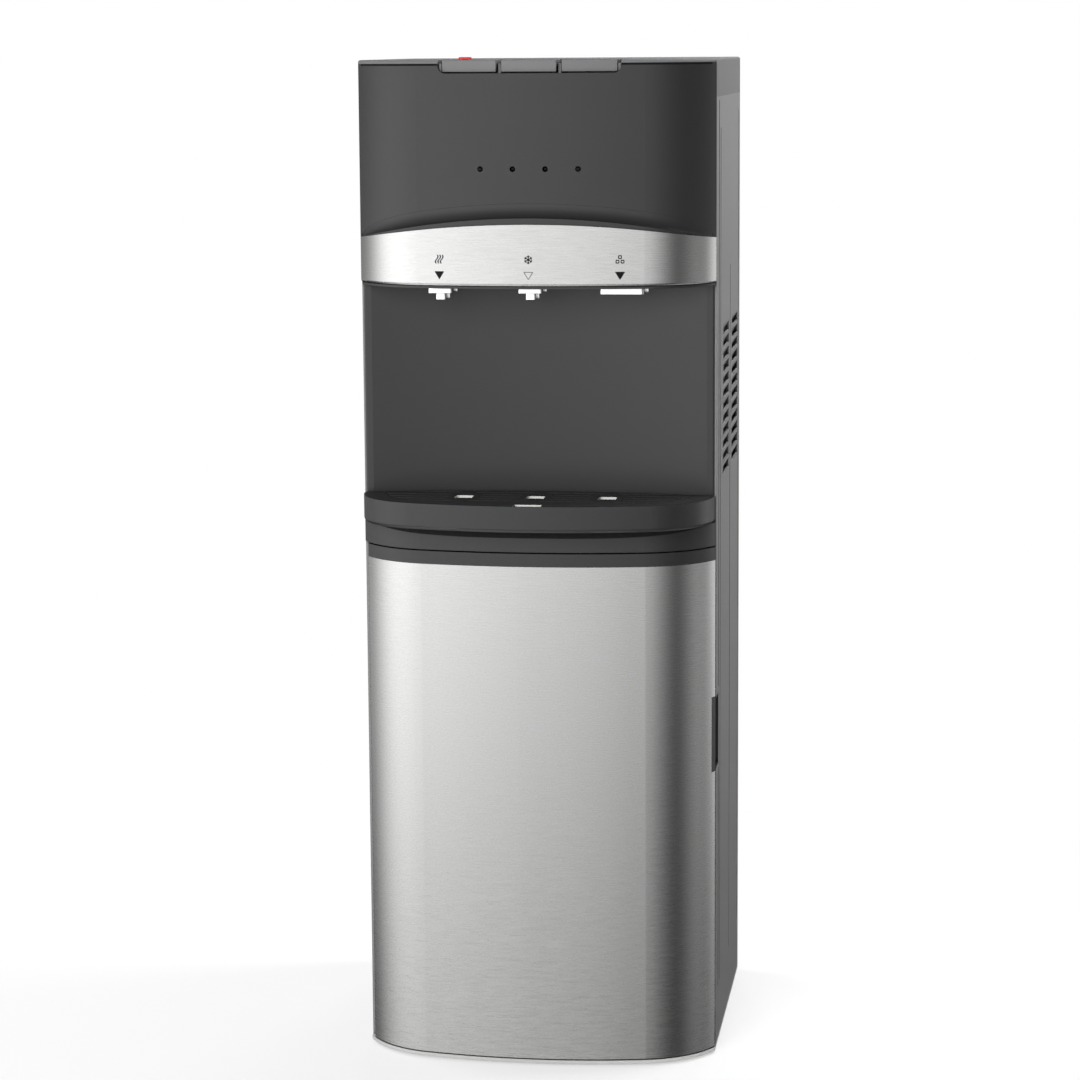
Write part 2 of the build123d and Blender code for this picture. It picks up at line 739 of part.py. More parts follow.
# Head bracket: back plate, switch shelf, dividers and pivot rod of the keys, board stand-offs
bracket_y = front - 16.0
bracket_wall = 3.0
divider_gap = 0.75
divider_x = [-1.5 * key_pitch + divider_gap, -key_pitch / 2, key_pitch / 2, 1.5 * key_pitch - divider_gap]
bracket_half = 1.5 * key_pitch - divider_gap + bracket_wall / 2
bracket_low = lamp_z - 32.0
shelf_reach = 38.0
switch_height = 7.5
switch_length = 13.0
switch_width = 6.5
switch_top = key_bottom - plunger_arm * sin(radians(key_angle)) - seat_gap
shelf_top = switch_top - switch_height
standoff = 8.0
standoff_radius = 3.0
board_width = 160.0
board_height = 66.0
board_thickness = 1.6
board_y = bracket_y - standoff
with BuildPart() as head_bracket:
    with BuildSketch(Plane.XY.offset(bracket_low)):
        with Locations((0, bracket_y)):
            Rectangle(2 * bracket_half, bracket_wall, align=(Align.CENTER, Align.MIN))
    extrude(amount=cover_bottom - bracket_low)
    with BuildSketch(Plane.XY.offset(shelf_top - wall)):
        with Locations((0, bracket_y)):
            Rectangle(2 * bracket_half, shelf_reach, align=(Align.CENTER, Align.MAX))
    extrude(amount=wall)
    with BuildSketch(Plane.XY.offset(shelf_top)):
        for post_x in divider_x:
            with Locations((post_x, bracket_y)):
                Rectangle(bracket_wall, shelf_reach, align=(Align.CENTER, Align.MAX))
    extrude(amount=cover_bottom - shelf_top)
    with BuildSketch(Plane.YZ.offset(-bracket_half)):
        with Locations((pivot_y, pivot_z)):
            Circle(pivot_radius)
    extrude(amount=2 * bracket_half)
    with BuildSketch(Plane.XZ.offset(-bracket_y)):
        with Locations((0, lamp_z)):
            with GridLocations(board_width - 20, board_height - 16, 2, 2):
                Circle(standoff_radius)
    extrude(amount=standoff)
save(head_bracket, "head_bracket")

with BuildPart() as key_switches:
    with BuildSketch(Plane.XY.offset(shelf_top)):
        with Locations((plunger_offset, pivot_y - plunger_arm)):
            with GridLocations(key_pitch, 0, 3, 1):
                Rectangle(switch_length, switch_width)
    extrude(amount=switch_height)
save(key_switches, "key_switches")

# Control board and the light pipes that end in the head panel's holes
chip_height = 2.0
chip_side = 14.0
chip_z = lamp_z - 20.0
plug_width = 18.0
plug_height = 8.0
plug_x = 44.0
plug_z = lamp_z + 17.0
pipe_recess = 3.2
with BuildPart() as control_board:
    with BuildSketch(Plane.XZ.offset(-board_y)):
        with Locations((0, lamp_z)):
            Rectangle(board_width, board_height)
    extrude(amount=board_thickness)
    with BuildSketch(Plane.XZ.offset(-board_y + board_thickness)):
        with Locations((0, chip_z)):
            Rectangle(chip_side, chip_side)
        with Locations((-plug_x, plug_z), (plug_x, plug_z)):
            Rectangle(plug_width, plug_height)
    extrude(amount=chip_height)
save(control_board, "control_board")

with BuildPart() as light_pipes:
    with BuildSketch(Plane.XZ.offset(-board_y + board_thickness)):
        with Locations((0, lamp_z)):
            with GridLocations(lamp_pitch, 0, lamp_count, 1):
                Circle(lamp_hole - slide_gap)
    extrude(amount=head_bulge - pipe_recess + board_y - board_thickness - front)
save(light_pipes, "light_pipes")

# Inner layout shared by the shelves, tanks and ice bin
jacket_wall = 8.0
hot_radius = 50.0
side_clear = 8.0
tank_clear = 48.0
hot_x = -inner_half + jacket_wall + hot_radius + side_clear
hot_y = back_inside - hot_radius - jacket_wall - tank_clear
foam_side = 172.0
cold_x = -inner_half + foam_side / 2 + 10.0
cold_y = plate_back + foam_side / 2 + 16.0
bin_half = 55.0
tube_hole = 8.0
riser_x = (cold_x + foam_side / 2 + outlet_pitch - bin_half) / 2
riser_y = plate_back + 46.0

# Shelves, bay partition with the probe clip, back panel
with BuildPart() as mid_shelf:
    with BuildSketch(Plane.XY.offset(shelf_low)):
        with Locations((0, front + sheet)):
            Rectangle(2 * inner_half, back_inside - front - sheet, align=(Align.CENTER, Align.MIN))
    extrude(amount=sheet)
save(mid_shelf, "mid_shelf")

with BuildPart() as upper_shelf:
    with BuildSketch(Plane.XY.offset(plate_bottom)):
        with Locations((0, plate_back)):
            Rectangle(2 * inner_half, back_inside - plate_back, align=(Align.CENTER, Align.MIN))
        with Locations((riser_x, riser_y)):
            Circle(tube_hole, mode=Mode.SUBTRACT)
    extrude(amount=plate_thickness)
save(upper_shelf, "upper_shelf")

probe_cap_radius = 24.0
probe_x = -inner_half + probe_cap_radius + 2.0
probe_y = partition_y - probe_cap_radius - 8.0
probe_low = base_top + 33.0
probe_high = shelf_low - 91.0
probe_radius = 5.0
clip_width = 36.0
clip_height = 12.0
clip_reach = 18.0
with BuildPart() as bay_partition:
    with BuildSketch(Plane.XY.offset(base_top)):
        with Locations((0, partition_y)):
            Rectangle(2 * inner_half, sheet, align=(Align.CENTER, Align.MIN))
    extrude(amount=shelf_low - base_top)
    with BuildSketch(Plane.XY.offset(probe_high - clip_height)):
        with Locations((probe_x, partition_y)):
            Rectangle(clip_width, partition_y - probe_y + clip_reach, align=(Align.CENTER, Align.MAX))
        with Locations((probe_x, probe_y)):
            Circle(probe_radius + slide_gap, mode=Mode.SUBTRACT)
            Rectangle(
                2 * (probe_radius + slide_gap),
                2 * clip_reach,
                align=(Align.CENTER, Align.MAX),
                mode=Mode.SUBTRACT,
            )
    extrude(amount=clip_height)
save(bay_partition, "bay_partition")

switch_inset = 80.0
switch_x = -half + switch_inset
switch_z = seam - 50.0
switch_count = 2
switch_pitch = 26.0
window_width = 19.0
window_height = 27.0
bezel_depth = 14.0
bezel_lip = 3.0
bezel_rim = 4.0
bezel_width = switch_count * switch_pitch + 6.0
bezel_height = window_height + 4.0
drain_z = shelf_high + 37.0
gland_x = half - 65.0
gland_z = shelf_high + 27.0
gland_bore = 4.0
vent_rows = 10
vent_columns = 5
vent_pitch = 60.0
vent_step = 14.0
vent_length = 48.0
vent_width = 5.0
vent_z = louvre_top - 75.0
with BuildPart() as back_panel:
    with BuildSketch(Plane.XZ.offset(-back_inside)):
        with Locations((0, (base_top + seam) / 2)):
            Rectangle(2 * inner_half, seam - base_top)
        with Locations((0, vent_z)):
            with GridLocations(vent_pitch, vent_step, vent_columns, vent_rows):
                SlotOverall(vent_length, vent_width, mode=Mode.SUBTRACT)
        with Locations((switch_x, switch_z)):
            Rectangle(bezel_width, bezel_height, mode=Mode.SUBTRACT)
        with Locations((gland_x, gland_z)):
            Circle(gland_bore, mode=Mode.SUBTRACT)
    extrude(amount=-sheet)
save(back_panel, "back_panel")

drain_radius = 14.0
drain_sides = 12
drain_round = 1.5
drain_height = 9.0
gland_radius = 10.0
gland_height = 8.0
with BuildPart() as drain_cap:
    with BuildSketch(Plane.XZ.offset(-panel_back)):
        with Locations((hot_x, drain_z)):
            RegularPolygon(drain_radius, drain_sides)
    extrude(amount=-drain_height)
    fillet(faces().sort_by(Axis.Y)[-1].edges(), radius=drain_round)
save(drain_cap, "drain_cap")

with BuildPart() as cord_gland:
    with BuildSketch(Plane.XZ.offset(-panel_back)):
        with Locations((gland_x, gland_z)):
            Circle(gland_radius)
            Circle(gland_bore, mode=Mode.SUBTRACT)
    extrude(amount=-gland_height)
save(cord_gland, "cord_gland")

# Rear switch bezel and its rockers
rocker_width = 18.0
rocker_height = 24.5
rocker_y = panel_back - 4.0
rocker_depth = 6.0
rocker_pin = 1.5
rocker_lift = 4.0
with BuildPart() as switch_bezel:
    with BuildSketch(Plane.XZ.offset(-panel_back)):
        with Locations((switch_x, switch_z)):
            Rectangle(bezel_width, bezel_height)
    extrude(amount=bezel_depth)
    with BuildSketch(Plane.XZ.offset(-panel_back)):
        with Locations((switch_x, switch_z)):
            RectangleRounded(bezel_width + 2 * bezel_rim, bezel_height + 2 * bezel_rim, bezel_lip)
    extrude(amount=-bezel_lip)
    with BuildSketch(Plane.XZ.offset(-panel_back + bezel_depth)):
        with Locations((switch_x, switch_z)):
            with GridLocations(switch_pitch, 0, switch_count, 1):
                Rectangle(window_width, window_height)
    extrude(amount=-bezel_depth - bezel_lip, mode=Mode.SUBTRACT)
    with BuildSketch(Plane.YZ.offset(switch_x - bezel_width / 2 + 1.0)):
        with Locations((rocker_y, switch_z)):
            Circle(rocker_pin + run_gap)
    extrude(amount=bezel_width - 2.0, mode=Mode.SUBTRACT)
save(switch_bezel, "switch_bezel")

for index, rocker_name in enumerate(("cold_rocker", "hot_rocker")):
    rocker_x = switch_x + (index - 0.5) * switch_pitch
    with BuildPart() as rocker:
        with BuildSketch(Plane.YZ.offset(rocker_x - rocker_width / 2)):
            with BuildLine():
                Polyline(
                    (rocker_y - rocker_depth, switch_z - rocker_height / 2),
                    (rocker_y + rocker_depth + rocker_lift, switch_z - rocker_height / 2),
                    (rocker_y + rocker_depth, switch_z),
                    (rocker_y + rocker_depth + rocker_lift, switch_z + rocker_height / 2),
                    (rocker_y - rocker_depth, switch_z + rocker_height / 2),
                    close=True,
                )
            make_face()
        extrude(amount=rocker_width)
        with BuildSketch(Plane.YZ.offset(rocker_x - window_width / 2 - 2.0)):
            with Locations((rocker_y, switch_z)):
                Circle(rocker_pin)
        extrude(amount=window_width + 4.0)
    save(rocker, rocker_name)

# Bottle bay: pump under the shelf, probe hung in its clip, suction hose
probe_bore = 3.5
probe_cap_height = 22.0
hose_radius = 5.0
hose_bore = 3.5
pump_width = 42.0
pump_length = 80.0
pump_height = 58.0
pump_round = 6.0
pump_plate = 23.0
hose_bend = 10.0
pump_gap = 15.0
pump_y = probe_y - pump_gap - pump_length / 2
hose_z = shelf_low - 30.0
with BuildPart() as pump:
    with BuildSketch(Plane.XY.offset(shelf_low)):
        with Locations((probe_x, pump_y)):
            RectangleRounded(pump_width, pump_length, pump_round)
    extrude(amount=-pump_plate)
    with BuildSketch(Plane.XZ.offset(-pump_y + pump_length / 2)):
        with Locations((probe_x, shelf_low - pump_height / 2)):
            Circle(pump_width / 2 - 1.0)
    extrude(amount=-pump_length)
save(pump, "pump")

with BuildPart() as probe:
    with BuildSketch(Plane.XY.offset(probe_low)):
        with Locations((probe_x, probe_y)):
            Circle(probe_radius)
    extrude(amount=probe_high - probe_low)
    with BuildSketch(Plane.XY.offset(probe_high)):
        with Locations((probe_x, probe_y)):
            Circle(probe_cap_radius)
    extrude(amount=probe_cap_height)
    fillet(faces().sort_by(Axis.Z)[-1].edges(), radius=3.0)
    with BuildSketch(Plane.XY.offset(probe_low)):
        with Locations((probe_x, probe_y)):
            Circle(probe_bore)
    extrude(amount=probe_high - probe_low + probe_cap_height, mode=Mode.SUBTRACT)
save(probe, "probe")

hose_run = [
    (probe_x, probe_y, probe_high + probe_cap_height),
    (probe_x, probe_y, hose_z),
    (probe_x, pump_y + pump_length / 2, hose_z),
]
with BuildPart() as suction_hose:
    add(tube(hose_run, hose_bend, hose_radius, hose_bore))
save(suction_hose, "suction_hose")

# Hot tank and cold tank, each in a port-pierced insulation block
hot_height = 180.0
port_radius = 5.0
port_bore = 3.5
port_length = 12.0
tank_wall = 1.2
hot_top = shelf_high + jacket_wall + hot_height
with BuildPart() as hot_tank:
    with BuildSketch(Plane.XY.offset(shelf_high + jacket_wall)):
        with Locations((hot_x, hot_y)):
            Circle(hot_radius)
    extrude(amount=hot_height)
    with BuildSketch(Plane.XY.offset(hot_top)):
        with Locations((hot_x, hot_y)):
            Circle(port_radius)
    extrude(amount=port_length)
    with BuildSketch(Plane.XY.offset(shelf_high + jacket_wall + tank_wall)):
        with Locations((hot_x, hot_y)):
            Circle(hot_radius - tank_wall)
    extrude(amount=hot_height - 2 * tank_wall, mode=Mode.SUBTRACT)
    with BuildSketch(Plane.XY.offset(hot_top - tank_wall)):
        with Locations((hot_x, hot_y)):
            Circle(port_bore)
    extrude(amount=port_length + tank_wall, mode=Mode.SUBTRACT)
save(hot_tank, "hot_tank")

cold_radius = 70.0
cold_height = 140.0
foam_floor = 14.0
foam_rim = 10.0
foam_round = 12.0
cold_low = band_bottom + foam_floor
cold_port_z = cold_low + 16.0
cold_port_y = cold_y - foam_side / 2 - 2.0
with BuildPart() as tank_insulation:
    with BuildSketch(Plane.XY.offset(band_bottom)):
        with Locations((cold_x, cold_y)):
            RectangleRounded(foam_side, foam_side, foam_round)
    extrude(amount=foam_floor + cold_height + foam_rim)
    with BuildSketch(Plane.XY.offset(cold_low)):
        with Locations((cold_x, cold_y)):
            Circle(cold_radius)
    extrude(amount=cold_height + foam_rim, mode=Mode.SUBTRACT)
    with BuildSketch(Plane.XZ.offset(-cold_y)):
        with Locations((cold_x, cold_port_z)):
            Circle(port_radius + slide_gap)
    extrude(amount=foam_side, mode=Mode.SUBTRACT)
    with BuildSketch(Plane.XY.offset(shelf_high)):
        with Locations((hot_x, hot_y)):
            Circle(hot_radius + jacket_wall)
    extrude(amount=hot_height + jacket_wall)
    with BuildSketch(Plane.XY.offset(shelf_high + jacket_wall)):
        with Locations((hot_x, hot_y)):
            Circle(hot_radius)
    extrude(amount=hot_height, mode=Mode.SUBTRACT)
save(tank_insulation, "tank_insulation")

with BuildPart() as cold_tank:
    with BuildSketch(Plane.XY.offset(cold_low)):
        with Locations((cold_x, cold_y)):
            Circle(cold_radius)
    extrude(amount=cold_height)
    with BuildSketch(Plane.XZ.offset(-cold_y)):
        with Locations((cold_x, cold_port_z)):
            Circle(port_radius)
    extrude(amount=cold_y - cold_port_y)
    with BuildSketch(Plane.XY.offset(cold_low + tank_wall)):
        with Locations((cold_x, cold_y)):
            Circle(cold_radius - tank_wall)
    extrude(amount=cold_height - 2 * tank_wall, mode=Mode.SUBTRACT)
    with BuildSketch(Plane.XZ.offset(-cold_y)):
        with Locations((cold_x, cold_port_z)):
            Circle(port_bore)
    extrude(amount=cold_y - cold_port_y, mode=Mode.SUBTRACT)
save(cold_tank, "cold_tank")

# Feed tubes from the two tanks to their spouts
feed_radius = 4.5
feed_bore = 3.0
feed_bend = 14.0
hot_feed_rise = 60.0
under_shelf_drop = 40.0
hot_feed_z = band_bottom + hot_feed_rise
under_shelf_z = plate_bottom - under_shelf_drop
cold_run = [
    (cold_x, cold_port_y, cold_port_z),
    (cold_x, front - 16.0, cold_port_z),
    (0, spout_y, cold_port_z),
    (0, spout_y, band_bottom),
]
hot_run = [
    (hot_x, hot_y, hot_top + port_length),
    (hot_x, hot_y, under_shelf_z),
    (riser_x, riser_y, under_shelf_z),
    (riser_x, riser_y, hot_feed_z),
    (riser_x, front - 26.0, hot_feed_z),
    (-outlet_pitch, spout_y, hot_feed_z),
    (-outlet_pitch, spout_y, band_bottom),
]
with BuildPart() as feed_tubes:
    add(tube(cold_run, feed_bend, feed_radius, feed_bore))
    add(tube(hot_run, feed_bend, feed_radius, feed_bore))
save(feed_tubes, "feed_tubes")

# Condenser and fan stand along the right side; the compressor takes the room up to the hot tank
cond_thick = 28.0
cond_clear = 10.0
cond_x = inner_half - cond_thick - cond_clear
shroud_wall = 3.0
shroud_x = cond_x - shroud_wall
strap_reach = 54.0
strap_x = shroud_x - strap_reach

# Compressor on rubber grommets
comp_clear = 12.0
comp_back = 36.0
comp_left = hot_x + hot_radius + jacket_wall
comp_right = strap_x - shroud_wall
plate_side = comp_right - comp_left - 2 * comp_clear
plate_margin = 5.0
comp_x = (comp_left + comp_right) / 2
comp_y = back_inside - plate_side / 2 - comp_back
comp_radius = plate_side / 2 - plate_margin
comp_height = 150.0
grommet_radius = 9.0
grommet_height = 14.0
grommet_inset = 12.0
comp_plate = 3.0
comp_round = 26.0
weld_rim = 2.0
weld_height = 6.0
with BuildPart() as compressor_grommets:
    with BuildSketch(Plane.XY.offset(shelf_high)):
        with Locations((comp_x, comp_y)):
            with GridLocations(plate_side - 2 * grommet_inset, plate_side - 2 * grommet_inset, 2, 2):
                Circle(grommet_radius)
    extrude(amount=grommet_height)
save(compressor_grommets, "compressor_grommets")

comp_low = shelf_high + grommet_height
with BuildPart() as compressor:
    with BuildSketch(Plane.XY.offset(comp_low)):
        with Locations((comp_x, comp_y)):
            RectangleRounded(plate_side, plate_side, grommet_inset)
    extrude(amount=comp_plate)
    with BuildSketch(Plane.XY.offset(comp_low)):
        with Locations((comp_x, comp_y)):
            Circle(comp_radius)
    extrude(amount=comp_height)
    fillet(faces().sort_by(Axis.Z)[-1].edges(), radius=comp_round)
    with BuildSketch(Plane.XY.offset(comp_low + comp_height / 2)):
        with Locations((comp_x, comp_y)):
            Circle(comp_radius + weld_rim)
    extrude(amount=weld_height)
save(compressor, "compressor")

# Condenser: fins on tubes between two end plates that stand on the shelf
cond_length = 205.0
cond_back = 13.0
cond_rise = 40.0
cond_end = back_inside - cond_back
cond_start = cond_end - cond_length
cond_low = shelf_high + cond_rise
cond_high = louvre_top
fin_count = 15
fin = 0.8
pipe_radius = 4.0
pipe_rows = 6
fin_pitch = (cond_end - cond_start) / (fin_count + 1)
pipe_pitch = (cond_high - cond_low) / pipe_rows
with BuildPart() as condenser:
    for plate_y in (cond_start, cond_end - sheet):
        with BuildSketch(Plane.XY.offset(shelf_high)):
            with Locations((cond_x, plate_y)):
                Rectangle(cond_thick, sheet, align=Align.MIN)
        extrude(amount=cond_high - shelf_high)
    with BuildSketch(Plane.XY.offset(cond_low)):
        for index in range(fin_count):
            with Locations((cond_x + 2.0, cond_start + (index + 1) * fin_pitch)):
                Rectangle(cond_thick - 4.0, fin, align=(Align.MIN, Align.CENTER))
    extrude(amount=cond_high - cond_low)
    with BuildSketch(Plane.XZ.offset(-cond_start)):
        with Locations((cond_x + cond_thick / 2, (cond_low + cond_high) / 2)):
            with GridLocations(0, pipe_pitch, 1, pipe_rows):
                Circle(pipe_radius)
    extrude(amount=cond_start - cond_end)
save(condenser, "condenser")

# Fan shroud with its motor strap, motor and fan
fan_y = (cond_start + cond_end) / 2
fan_z = (cond_low + cond_high) / 2
fan_radius = 78.0
fan_depth = 18.0
fan_hub = 19.0
blade_count = 7
blade_pitch = 32.0
motor_radius = 24.0
motor_length = 22.0
shaft_radius = 2.5
post_reach = fan_radius + 10.0
post_width = 8.0
strap_height = 16.0
with BuildPart() as fan_shroud:
    with BuildSketch(Plane.YZ.offset(shroud_x)):
        with Locations((fan_y, fan_z)):
            Rectangle(cond_end - cond_start, cond_high - cond_low)
            Circle(fan_radius + 4.0, mode=Mode.SUBTRACT)
    extrude(amount=shroud_wall)
    with BuildSketch(Plane.YZ.offset(strap_x)):
        with Locations((fan_y, fan_z)):
            with GridLocations(2 * post_reach, 0, 2, 1):
                Rectangle(post_width, strap_height)
    extrude(amount=shroud_x - strap_x)
    with BuildSketch(Plane.YZ.offset(strap_x)):
        with Locations((fan_y, fan_z)):
            Rectangle(2 * post_reach + post_width, strap_height)
    extrude(amount=-shroud_wall)
save(fan_shroud, "fan_shroud")

with BuildPart() as fan_motor:
    with BuildSketch(Plane.YZ.offset(strap_x)):
        with Locations((fan_y, fan_z)):
            Circle(motor_radius)
    extrude(amount=motor_length)
    with BuildSketch(Plane.YZ.offset(strap_x + motor_length)):
        with Locations((fan_y, fan_z)):
            Circle(shaft_radius)
    extrude(amount=fan_depth + 2.0)
save(fan_motor, "fan_motor")

fan_x = strap_x + motor_length + 2.0
with BuildPart() as condenser_fan:
    with BuildSketch(Plane.YZ.offset(fan_x)):
        with Locations((fan_y, fan_z)):
            Circle(fan_hub)
    extrude(amount=fan_depth)
    for index in range(blade_count):
        with Locations(Location((fan_x + fan_depth / 2, fan_y, fan_z), (index * 360 / blade_count, 0, 0))):
            with Locations((0, 0, fan_hub - 4.0)):
                Box(
                    2.0,
                    28.0,
                    fan_radius - fan_hub + 3.0,
                    rotation=(0, 0, blade_pitch),
                    align=(Align.CENTER, Align.CENTER, Align.MIN),
                )
    with BuildSketch(Plane.YZ.offset(fan_x)):
        with Locations((fan_y, fan_z)):
            Circle(shaft_radius + run_gap)
    extrude(amount=fan_depth, mode=Mode.SUBTRACT)
save(condenser_fan, "condenser_fan")

# Ice bin: trough over a round auger channel, on two cross ribs
bin_length = 210.0
bin_height = 60.0
bin_rise = 49.0
bin_low = band_bottom + bin_rise
bin_high = bin_low + bin_height
bin_start = plate_back + 1.0
bin_end = bin_start + bin_length
auger_drop = 10.0
auger_z = bin_low - auger_drop
channel_radius = 27.0
exit_radius = 21.0
shaft = 5.0
rib = 3.0
with BuildPart() as ice_bin:
    with BuildSketch(Plane.XZ.offset(-bin_start)):
        with Locations((outlet_pitch, bin_low)):
            Rectangle(2 * bin_half, bin_high - bin_low, align=(Align.CENTER, Align.MIN))
        with Locations((outlet_pitch, auger_z)):
            Circle(channel_radius + wall)
    extrude(amount=bin_start - bin_end)
    for rib_y in (bin_start + 20, bin_end - 20):
        with BuildSketch(Plane.XZ.offset(-rib_y)):
            with Locations((outlet_pitch, band_bottom)):
                Rectangle(2 * bin_half - 20, bin_low - band_bottom, align=(Align.CENTER, Align.MIN))
        extrude(amount=-rib)
    with BuildSketch(Plane.XZ.offset(-bin_start - wall)):
        with Locations((outlet_pitch, bin_low + wall)):
            Rectangle(2 * (bin_half - wall), bin_high - bin_low, align=(Align.CENTER, Align.MIN))
        with Locations((outlet_pitch, auger_z)):
            Circle(channel_radius)
    extrude(amount=bin_start - bin_end + 2 * wall, mode=Mode.SUBTRACT)
    with BuildSketch(Plane.XZ.offset(-bin_start)):
        with Locations((outlet_pitch, auger_z)):
            Circle(exit_radius)
    extrude(amount=-wall, mode=Mode.SUBTRACT)
    with BuildSketch(Plane.XZ.offset(-bin_end + wall)):
        with Locations((outlet_pitch, auger_z)):
            Circle(shaft + run_gap)
    extrude(amount=-wall, mode=Mode.SUBTRACT)
save(ice_bin, "ice_bin")

# Auger: shaft with turned paddles
paddle_count = 9
paddle_turn = 50.0
paddle_radius = 24.0
motor_side = 50.0
motor_depth = 44.0
motor_round = 5.0
shaft_bite = 12.0
with BuildPart() as ice_auger:
    with BuildSketch(Plane.XZ.offset(-bin_start - 12)):
        with Locations((outlet_pitch, auger_z)):
            Circle(shaft)
    extrude(amount=bin_start + 12 - bin_end - shaft_bite)
    for index in range(paddle_count):
        paddle_y = bin_start + 22 + index * (bin_end - bin_start - 44) / (paddle_count - 1)
        with Locations(Location((outlet_pitch, paddle_y, auger_z), (0, index * paddle_turn, 0))):
            Box(
                12.0,
                3.0,
                paddle_radius,
                rotation=(0, 0, 30),
                align=(Align.CENTER, Align.CENTER, Align.MIN),
            )
save(ice_auger, "ice_auger")

# Ice chute over the outlet, and the flap that closes its drop
chute_half = 24.0
chute_wall = 2.0
chute_rise = 15.0
chute_height = 80.0
chute_front = ice_y - ice_depth / 2 - chute_wall
chute_floor = band_bottom + chute_rise
chute_high = band_bottom + chute_height
flap_thickness = 2.0
flap_pin = 1.5
flap_play = 1.0
flap_y = ice_y + ice_depth / 2 - flap_pin
flap_z = chute_floor + flap_thickness
flap_half = ice_length / 2 - flap_play
with BuildPart() as ice_chute:
    with BuildSketch(Plane.XY.offset(band_bottom)):
        with Locations((outlet_pitch, chute_front)):
            Rectangle(2 * chute_half, bin_start - chute_front, align=(Align.CENTER, Align.MIN))
    extrude(amount=chute_high - band_bottom)
    with BuildSketch(Plane.XY.offset(chute_floor)):
        with Locations((outlet_pitch, chute_front + chute_wall)):
            Rectangle(2 * (chute_half - wall), bin_start - chute_front, align=(Align.CENTER, Align.MIN))
    extrude(amount=chute_high - chute_floor - wall, mode=Mode.SUBTRACT)
    with BuildSketch(Plane.XY.offset(band_bottom)):
        with Locations((outlet_pitch, ice_y)):
            Rectangle(ice_length, ice_depth)
    extrude(amount=chute_floor - band_bottom, mode=Mode.SUBTRACT)
    with BuildSketch(Plane.YZ.offset(outlet_pitch - chute_half)):
        with Locations((flap_y, flap_z)):
            Circle(flap_pin + run_gap)
    extrude(amount=2 * chute_half, mode=Mode.SUBTRACT)
save(ice_chute, "ice_chute")

with BuildPart() as chute_flap:
    with BuildSketch(Plane.XY.offset(flap_z - flap_thickness / 2)):
        with Locations((outlet_pitch, flap_y)):
            Rectangle(2 * flap_half, ice_depth - flap_pin - flap_play, align=(Align.CENTER, Align.MAX))
    extrude(amount=flap_thickness)
    with BuildSketch(Plane.YZ.offset(outlet_pitch - chute_half + 0.5)):
        with Locations((flap_y, flap_z)):
            Circle(flap_pin)
    extrude(amount=2 * chute_half - 1.0)
save(chute_flap, "chute_flap")

# Ice maker over the bin: frame, evaporator with fingers, tilting tray, the two gear motors
frame_setback = 35.0
frame_length = 130.0
frame_height = 76.0
frame_start = bin_start + frame_setback
frame_end = frame_start + frame_length
frame_high = bin_high + frame_height
mould_y = frame_start + frame_length / 2
mould_rise = 50.0
mould_z = bin_high + mould_rise
mould_radius = 27.0
mould_wall = 2.0
mould_half = 49.0
tilt_y = mould_y - mould_radius - 1.0
tilt_pin = 2.5
finger_radius = 4.0
finger_drop = 18.0
block_rise = 12.0
finger_low = mould_z - finger_drop
block_low = mould_z + block_rise
block_length = 84.0
block_width = 30.0
finger_pitch = 22.0
finger_rows = 14.0
with BuildPart() as ice_frame:
    with BuildSketch(Plane.XZ.offset(-frame_start)):
        with Locations((outlet_pitch, bin_high)):
            Rectangle(2 * bin_half, frame_high - bin_high, align=(Align.CENTER, Align.MIN))
            Rectangle(
                2 * (bin_half - wall),
                frame_high - bin_high - wall,
                align=(Align.CENTER, Align.MIN),
                mode=Mode.SUBTRACT,
            )
    extrude(amount=frame_start - frame_end)
    with BuildSketch(Plane.YZ.offset(outlet_pitch - bin_half)):
        with Locations((tilt_y, mould_z)):
            Circle(tilt_pin + run_gap)
    extrude(amount=2 * bin_half, mode=Mode.SUBTRACT)
save(ice_frame, "ice_frame")

with BuildPart() as ice_evaporator:
    with BuildSketch(Plane.XY.offset(block_low)):
        with Locations((outlet_pitch, mould_y)):
            Rectangle(block_length, block_width)
    extrude(amount=frame_high - wall - block_low)
    with BuildSketch(Plane.XY.offset(finger_low)):
        with Locations((outlet_pitch, mould_y)):
            with GridLocations(finger_pitch, finger_rows, 4, 2):
                Circle(finger_radius)
    extrude(amount=block_low - finger_low)
save(ice_evaporator, "ice_evaporator")

with BuildPart() as ice_tray:
    with BuildSketch(Plane.YZ.offset(outlet_pitch - mould_half)):
        with Locations((mould_y, mould_z)):
            Circle(mould_radius)
            Rectangle(
                2 * mould_radius,
                2 * mould_radius,
                align=(Align.CENTER, Align.MIN),
                mode=Mode.SUBTRACT,
            )
        with Locations((tilt_y, mould_z)):
            Circle(tilt_pin + 2.0)
    extrude(amount=2 * mould_half)
    with BuildSketch(Plane.YZ.offset(outlet_pitch - mould_half + mould_wall)):
        with Locations((mould_y, mould_z)):
            Circle(mould_radius - mould_wall)
    extrude(amount=2 * (mould_half - mould_wall), mode=Mode.SUBTRACT)
    with BuildSketch(Plane.YZ.offset(outlet_pitch - bin_half + 0.5)):
        with Locations((tilt_y, mould_z)):
            Circle(tilt_pin)
    extrude(amount=2 * bin_half - 1.0)
save(ice_tray, "ice_tray")

